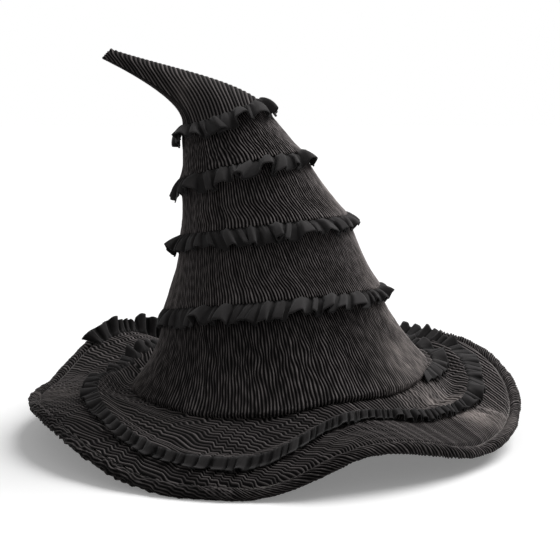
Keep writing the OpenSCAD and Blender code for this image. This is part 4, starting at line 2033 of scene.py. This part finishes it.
@dataclass(frozen=True)
class Inside:
    """The sweatband and the lining of the crown.

    Attributes:
        opening_r: inside radius of the sweatband.
        band_h: height of the sweatband.
        band_t: thickness of the sweatband.
        lining_r: inside radius of the lining at the opening.
        lining_in: how far the lining lies inside the crown's outer face.
        reach: share of the lower tier that the lining covers.
        ribs: ribs round the sweatband.
        side_rows: grid rows up the lining's side.
        side_columns: grid columns round it.
        foot_share: share of those rows below the crown's foot.
        seam_share: share of those rows below the lowest seam.
        band_rows: grid rows round the sweatband's section.
        top_grid: grid columns and rows of the lining's round top.
    """

    opening_r: float = 93.0
    band_h: float = 32.0
    band_t: float = 1.2
    lining_r: float = 94.6
    lining_in: float = 5.8
    reach: float = 0.55
    ribs: int = 460
    side_rows: int = 40
    side_columns: int = 320
    foot_share: float = 0.12
    seam_share: float = 0.62
    band_rows: int = 28
    top_grid: tuple[int, int] = (160, 24)

    def sweatband(self, column: Array, row: Array) -> Shape:
        """Give the points of the ribbed band, folded round from its inner to its outer face.

        Args:
            column: each point's column.
            row: each point's row.

        Returns:
            The bent cloth.
        """
        angle = TAU * column / (2 * self.ribs)
        section = TAU * row / self.band_rows
        low = BRIM.seam_z - BRIM.down
        half = self.band_t / 2
        side, up = np.cos(section), np.sin(section)
        rib = 0.16 * (column % 2) * (side < -0.5)
        radius = self.opening_r + half + half * np.sign(side) * np.abs(side) ** 0.35 + rib
        z = low + self.band_h / 2 * (1 + np.sign(up) * np.abs(up) ** 0.7)
        cloth = on_cloth(angle * self.opening_r, section * 10)
        return Shape.plain(polar(radius, angle, z), cloth)

    def side(self, column: Array, row: Array) -> Shape:
        """Give the points of the lining's side, with soft wrinkles.

        Args:
            column: each point's column.
            row: each point's row.

        Returns:
            The bent cloth.
        """
        angle = TAU * column / self.side_columns
        share = row / self.side_rows
        above = share > self.seam_share
        low = BRIM.seam_z - BRIM.down
        up = np.clip((share - self.foot_share) / (self.seam_share - self.foot_share), 0, 1)
        tier = np.clip((share - self.seam_share) / (1 - self.seam_share), 0, 1) * self.reach
        flare = LOWER.r + (FOOT.edge(angle) - LOWER.r) * (1 - up) ** FOOT.flare
        lower = np.minimum(self.lining_r, flare - self.lining_in)
        higher = mix(LOWER.r, MIDDLE.r, tier) - 4 * TIER_SAG * tier * (1 - tier) - self.lining_in
        radius = np.where(above, higher, lower)
        foot_z = BRIM.top(FOOT.r, angle) + FOOT.height
        below = mix(low, foot_z, share / self.foot_share)
        z = np.where(share < self.foot_share, below, mix(foot_z, LOWER.z, up))
        z = np.where(above, mix(LOWER.z, MIDDLE.z, tier), z)
        x = np.where(above, mix(LOWER.x, MIDDLE.x, tier), LOWER.x * np.maximum(0, 2 * up - 1))
        tilt = np.where(above, mix(LOWER.tilt, MIDDLE.tilt, tier), LOWER.tilt * up)
        slack = 0.9 * np.maximum(0, Drift(131, 7, 34, 1.4).at(angle, share)) * smooth(share / 0.3)
        point = ring(x, z, radius - slack, tilt, angle, 0.0)
        return Shape.plain(point, on_cloth(angle * 90, share * 125))

    def top(self, column: Array, row: Array) -> Shape:
        """Give the points of the lining's round top, gathered towards its middle.

        Args:
            column: each point's column.
            row: each point's row.

        Returns:
            The bent cloth.
        """
        angle = TAU * column / self.top_grid[0]
        share = row / self.top_grid[1]
        size = mix(LOWER.r, MIDDLE.r, self.reach) - TIER_SAG - self.lining_in - 0.4
        radius = size * share
        gather = 0.7 * np.cos(31 * angle + 2 * np.sin(3 * angle)) * hill(share, 0.3, 0.3)
        rise = 0.5 + gather * share - 1.2 * hill(share, 0.0, 0.12)
        x, z = mix(LOWER.x, MIDDLE.x, self.reach), mix(LOWER.z, MIDDLE.z, self.reach)
        point = ring(x, z, radius, mix(LOWER.tilt, MIDDLE.tilt, self.reach), angle, rise)
        return Shape.plain(point, on_cloth(radius * np.cos(angle), radius * np.sin(angle)))

    def build(self, tape: Material, cloth: Material) -> list[Piece]:
        """Make and dress the sweatband and the lining.

        Args:
            tape: finish of the sweatband.
            cloth: finish of the lining.

        Returns:
            The sweatband, the lining's side and its top.
        """
        band = make_cloth("sweatband_tape", 2 * self.ribs, self.band_rows, self.sweatband, Facing.OUT)
        side = make_cloth("lining_side", self.side_columns, self.side_rows, self.side, Facing.IN)
        top = make_cloth("lining_round", *self.top_grid, self.top, Facing.DOWN)
        for piece, node, finish, slot in (
            (band, "sweatband", tape, Slot.TAPE),
            (side, "crown_lining", cloth, Slot.LINING),
            (top, "lining_top", cloth, Slot.LINING),
        ):
            dress(piece, finish)
            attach(piece, Body.CROWN.value)
            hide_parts(node)
        Cut(self.band_h, 590).declare(band, Held.STRETCHED, ["lining_side"])
        Cut(125, 590).declare(side, Held.STRETCHED, ["crown_stiffener"])
        Cut(150, 150, 17000).declare(top, Held.GATHERED, ["lining_side"])
        return [band, side, top]


@dataclass(frozen=True)
class Crown:
    """The crown's tiers and ruffles.

    Attributes:
        tiers: its pleated walls from the lowest up.
        ruffles: its ruffles from the lowest up.
    """

    tiers: tuple[Tier, ...] = (
        # The base tier's tone of -2.0 darkens it all over: painted shade under the lower ruffle.
        BaseTier("base_tier_pleats", "base_tier", LOWER, LOWER,
                 Pleats(280, 6, 0.7, 11, broken=0.09), 44, 14.0, 1.6, Cut(95, 1000), -2.0, 0.55),
        Tier("lower_tier_pleats", "lower_tier", LOWER, MIDDLE,
             Pleats(226, 6, 0.85, 21), 40, 11.0, 4.0, Cut(70, 900)),
        Tier("middle_tier_pleats", "middle_tier", MIDDLE, UPPER,
             Pleats(158, 6, 0.85, 31), 36, -6.0, 5.5, Cut(60, 660)),
        Tier("upper_tier_pleats", "upper_tier", UPPER, TOP,
             Pleats(118, 7, 0.85, 41), 32, 1.0, 2.4, Cut(52, 470)),
    )
    ruffles: tuple[CrownRuffle, ...] = (
        CrownRuffle("lower_ruffle_folds", "lower_ruffle", "base_tier_pleats", LOWER,
                    Flutes(54, 24, 94, 51, 0.6, flat=(0.2, 0.42), side=(0.18, 0.3)), Cut(18, 1100),
                    gather_in=4.0, hang=34.0, trim=0.32),
        CrownRuffle("middle_ruffle_folds", "middle_ruffle", "lower_tier_pleats", MIDDLE,
                    Flutes(42, 24, 94, 55, 0.6, flat=(0.2, 0.42), side=(0.18, 0.3)), Cut(18, 850),
                    gather_in=5.0, hang=14.0, trim=0.24),
        CrownRuffle("upper_ruffle_folds", "upper_ruffle", "middle_tier_pleats", UPPER,
                    Flutes(33, 22, 96, 59, 0.5), Cut(18, 720), hang=30.0, trim=0.14),
        CrownRuffle("tip_ruffle_folds", "tip_ruffle", "upper_tier_pleats", TOP,
                    Flutes(20, 24, 96, 63, 0.5), Cut(18, 460), hang=24.0),
    )

    def build(self, pleated: Material, plain: Material) -> list[Piece]:
        """Make the tiers and the ruffles.

        Args:
            pleated: finish of the tiers.
            plain: finish of the ruffles.

        Returns:
            The tiers, then the ruffles.
        """
        tiers = [tier.build(pleated) for tier in self.tiers]
        return tiers + [ruffle.build(plain) for ruffle in self.ruffles]


@dataclass(frozen=True)
class Brim:
    """The pleated cloth on the brim.

    Attributes:
        strips: its strips.
    """

    strips: tuple[BrimStrip, ...] = (
        InnerStrip("brim_inner_front", 500, 708, 960, 96, Cut(62, 560, 25000), 3.9),
        InnerStrip("brim_inner_back", 342, 502, 700, 30, Cut(24, 480), 3.4),
        TailStrip("brim_inner_tail", 703, 786, 420, 64, Cut(50, 230), 3.4),
        OuterStrip("brim_outer_front", 554, 703, 1000, 96, Cut(50, 560), 3.0, frayed=True),
        OuterStrip("brim_outer_right", 342, 424, 560, 96, Cut(52, 300), 3.9, turns=360.0),
        OuterStrip("brim_outer_back", 418, 556, 780, 100, Cut(76, 500), under=0.5),
    )

    def build(self, finish: Material) -> list[Piece]:
        """Make the strips in the pleated finish."""
        return [strip.build(finish) for strip in self.strips]


@dataclass(frozen=True)
class Studio:
    """Pale floor, soft light from above and the camera.

    Attributes:
        eye: place of the camera in metres.
        pitch: how far it looks down, in degrees.
        lens: focal length on a 36 mm sensor.
        sky: light from all round.
        key: strength of the soft light from above.
        key_spread: width of that light in the sky, in degrees.
        key_aim: how that light is turned about X, Y and Z, in degrees.
        floor_tone: how light the floor shows.
        floor_lift: how much the floor shows of its own light.
        bounce: how light the floor is to the light that it throws back.
        floor_size: width of the floor in metres.
        sensor: width of the camera's sensor in millimetres.
    """

    eye: tuple[float, float, float] = (0.0043, -1.188, 0.310)
    pitch: float = 8.65
    lens: float = 90.64
    sky: float = 0.25
    key: float = 2.6
    key_spread: float = 45.0
    key_aim: tuple[float, float, float] = (-12.0, 32.0, 0.0)
    floor_tone: float = 0.95
    floor_lift: float = 0.2
    bounce: float = 0.3
    floor_size: float = 12.0
    sensor: float = 36.0

    @staticmethod
    def seen(graph: Graph) -> Socket:
        """Find the rays that show the background: to the camera, in gloss or through glass.

        Args:
            graph: the graph to add nodes to.

        Returns:
            1 on such rays and 0 on others.
        """
        path = graph.add("ShaderNodeLightPath").outputs
        gloss = graph.sum("MAXIMUM", path["Is Glossy Ray"], path["Is Transmission Ray"])
        return graph.sum("MAXIMUM", path["Is Camera Ray"], gloss)

    def world(self) -> None:
        """Light the scene from all round, with a white background."""
        world = bpy.data.worlds.new("studio")
        world.use_nodes = True
        bpy.context.scene.world = world
        graph = Graph(world.node_tree)
        shade = world.node_tree.nodes["Background"]
        strength = graph.ranged(self.seen(graph), self.sky, 1.0)
        graph.feed(shade, {"Color": (1, 1, 1, 1), "Strength": strength})

    def floor(self) -> None:
        """Lay the floor, which shows white and keeps the hat's shadow."""
        mesh = bpy.data.meshes.new("floor")
        work = bmesh.new()
        bmesh.ops.create_grid(work, x_segments=1, y_segments=1, size=self.floor_size / 2)
        work.to_mesh(mesh)
        work.free()
        floor = bpy.data.objects.new("floor", mesh)
        bpy.context.scene.collection.objects.link(floor)
        material = bpy.data.materials.new("floor")
        material.use_nodes = True
        graph = Graph(material.node_tree)
        material.node_tree.nodes.remove(material.node_tree.nodes["Principled BSDF"])
        shade = graph.ranged(self.seen(graph), self.bounce, self.floor_tone)
        matte = graph.add("ShaderNodeBsdfDiffuse", {"Color": shade}).outputs[0]
        strength = graph.sum("MULTIPLY", self.seen(graph), self.floor_lift)
        glow = graph.add("ShaderNodeEmission", {"Strength": strength}).outputs[0]
        lit = graph.add("ShaderNodeAddShader", {0: matte, 1: glow}).outputs[0]
        clear = graph.add("ShaderNodeBsdfTransparent").outputs[0]
        below = graph.add("ShaderNodeNewGeometry").outputs["Backfacing"]
        both = graph.add("ShaderNodeMixShader", {0: below, 1: lit, 2: clear}).outputs[0]
        graph.feed(material.node_tree.nodes["Material Output"], {0: both})
        mesh.materials.append(material)

    def light(self) -> None:
        """Hang the soft light above the hat."""
        lamp = bpy.data.lights.new("soft_key", "SUN")
        lamp.energy = self.key
        lamp.angle = math.radians(self.key_spread)
        holder = bpy.data.objects.new("soft_key", lamp)
        holder.rotation_euler = Euler([math.radians(turn) for turn in self.key_aim])
        bpy.context.scene.collection.objects.link(holder)

    def camera(self) -> None:
        """Set the camera at the view of the photograph."""
        lens = bpy.data.cameras.new("camera")
        lens.lens = self.lens
        lens.sensor_width = self.sensor
        holder = bpy.data.objects.new("camera", lens)
        holder.location = self.eye
        holder.rotation_euler = (math.radians(90 - self.pitch), 0, 0)
        bpy.context.scene.collection.objects.link(holder)
        bpy.context.scene.camera = holder

    def build(self) -> None:
        """Set up the camera, light, background and floor."""
        self.camera()
        self.light()
        self.world()
        self.floor()
        bpy.context.scene.view_settings.view_transform = "Standard"


def main() -> None:
    """Build the studio and every piece of the hat."""
    logging.basicConfig(level=logging.INFO, format="%(name)s: %(message)s")
    Studio().build()
    # The ridge colour carries a painted highlight, the valley colour painted shade and the worn colour
    # partly a painted sheen.
    pleated = PleatedFinish(
        "crinkle_pleats",
        colour=(0.278, 0.251, 0.249, 1),
        valley=(0.0010, 0.0009, 0.0009, 1),
        rubbed_and_sheen=(0.396, 0.342, 0.312, 1),
    ).material()
    plain = WovenFinish("ruffle_cotton", (0.043, 0.0405, 0.041, 1), 2000.0, 0.00012, 0.1).material()
    lining = WovenFinish("black_lining", (0.045, 0.042, 0.044, 1), 2600.0, 0.00006, 0.2).material()
    under = WovenFinish("black_under_cloth", (0.050, 0.047, 0.047, 1), 1800.0, 0.00012, 0.12).material()
    tape = WovenFinish("ribbed_tape", (0.060, 0.057, 0.058, 1), 1400.0, 0.00012, 0.1).material()
    sheet = FeltFinish("stiffening_sheet", (0.20, 0.19, 0.18, 1), 500.0).material()
    felt = FeltFinish("grey_felt", (0.10, 0.095, 0.09, 1), 260.0).material()
    steel = WireFinish("drawn_wire", (0.55, 0.55, 0.56, 1)).material()
    Crown().build(pleated, plain)
    Tip().build(pleated)
    Brim().build(pleated)
    BrimRuffle().build(plain)
    BrimEdge().build(pleated, under, sheet, steel)
    Inside().build(tape, lining)
    dress(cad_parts["crown_stiffener"], felt)
    dress(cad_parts["tip_wire"], steel)


if __name__ == "__main__":
    main()
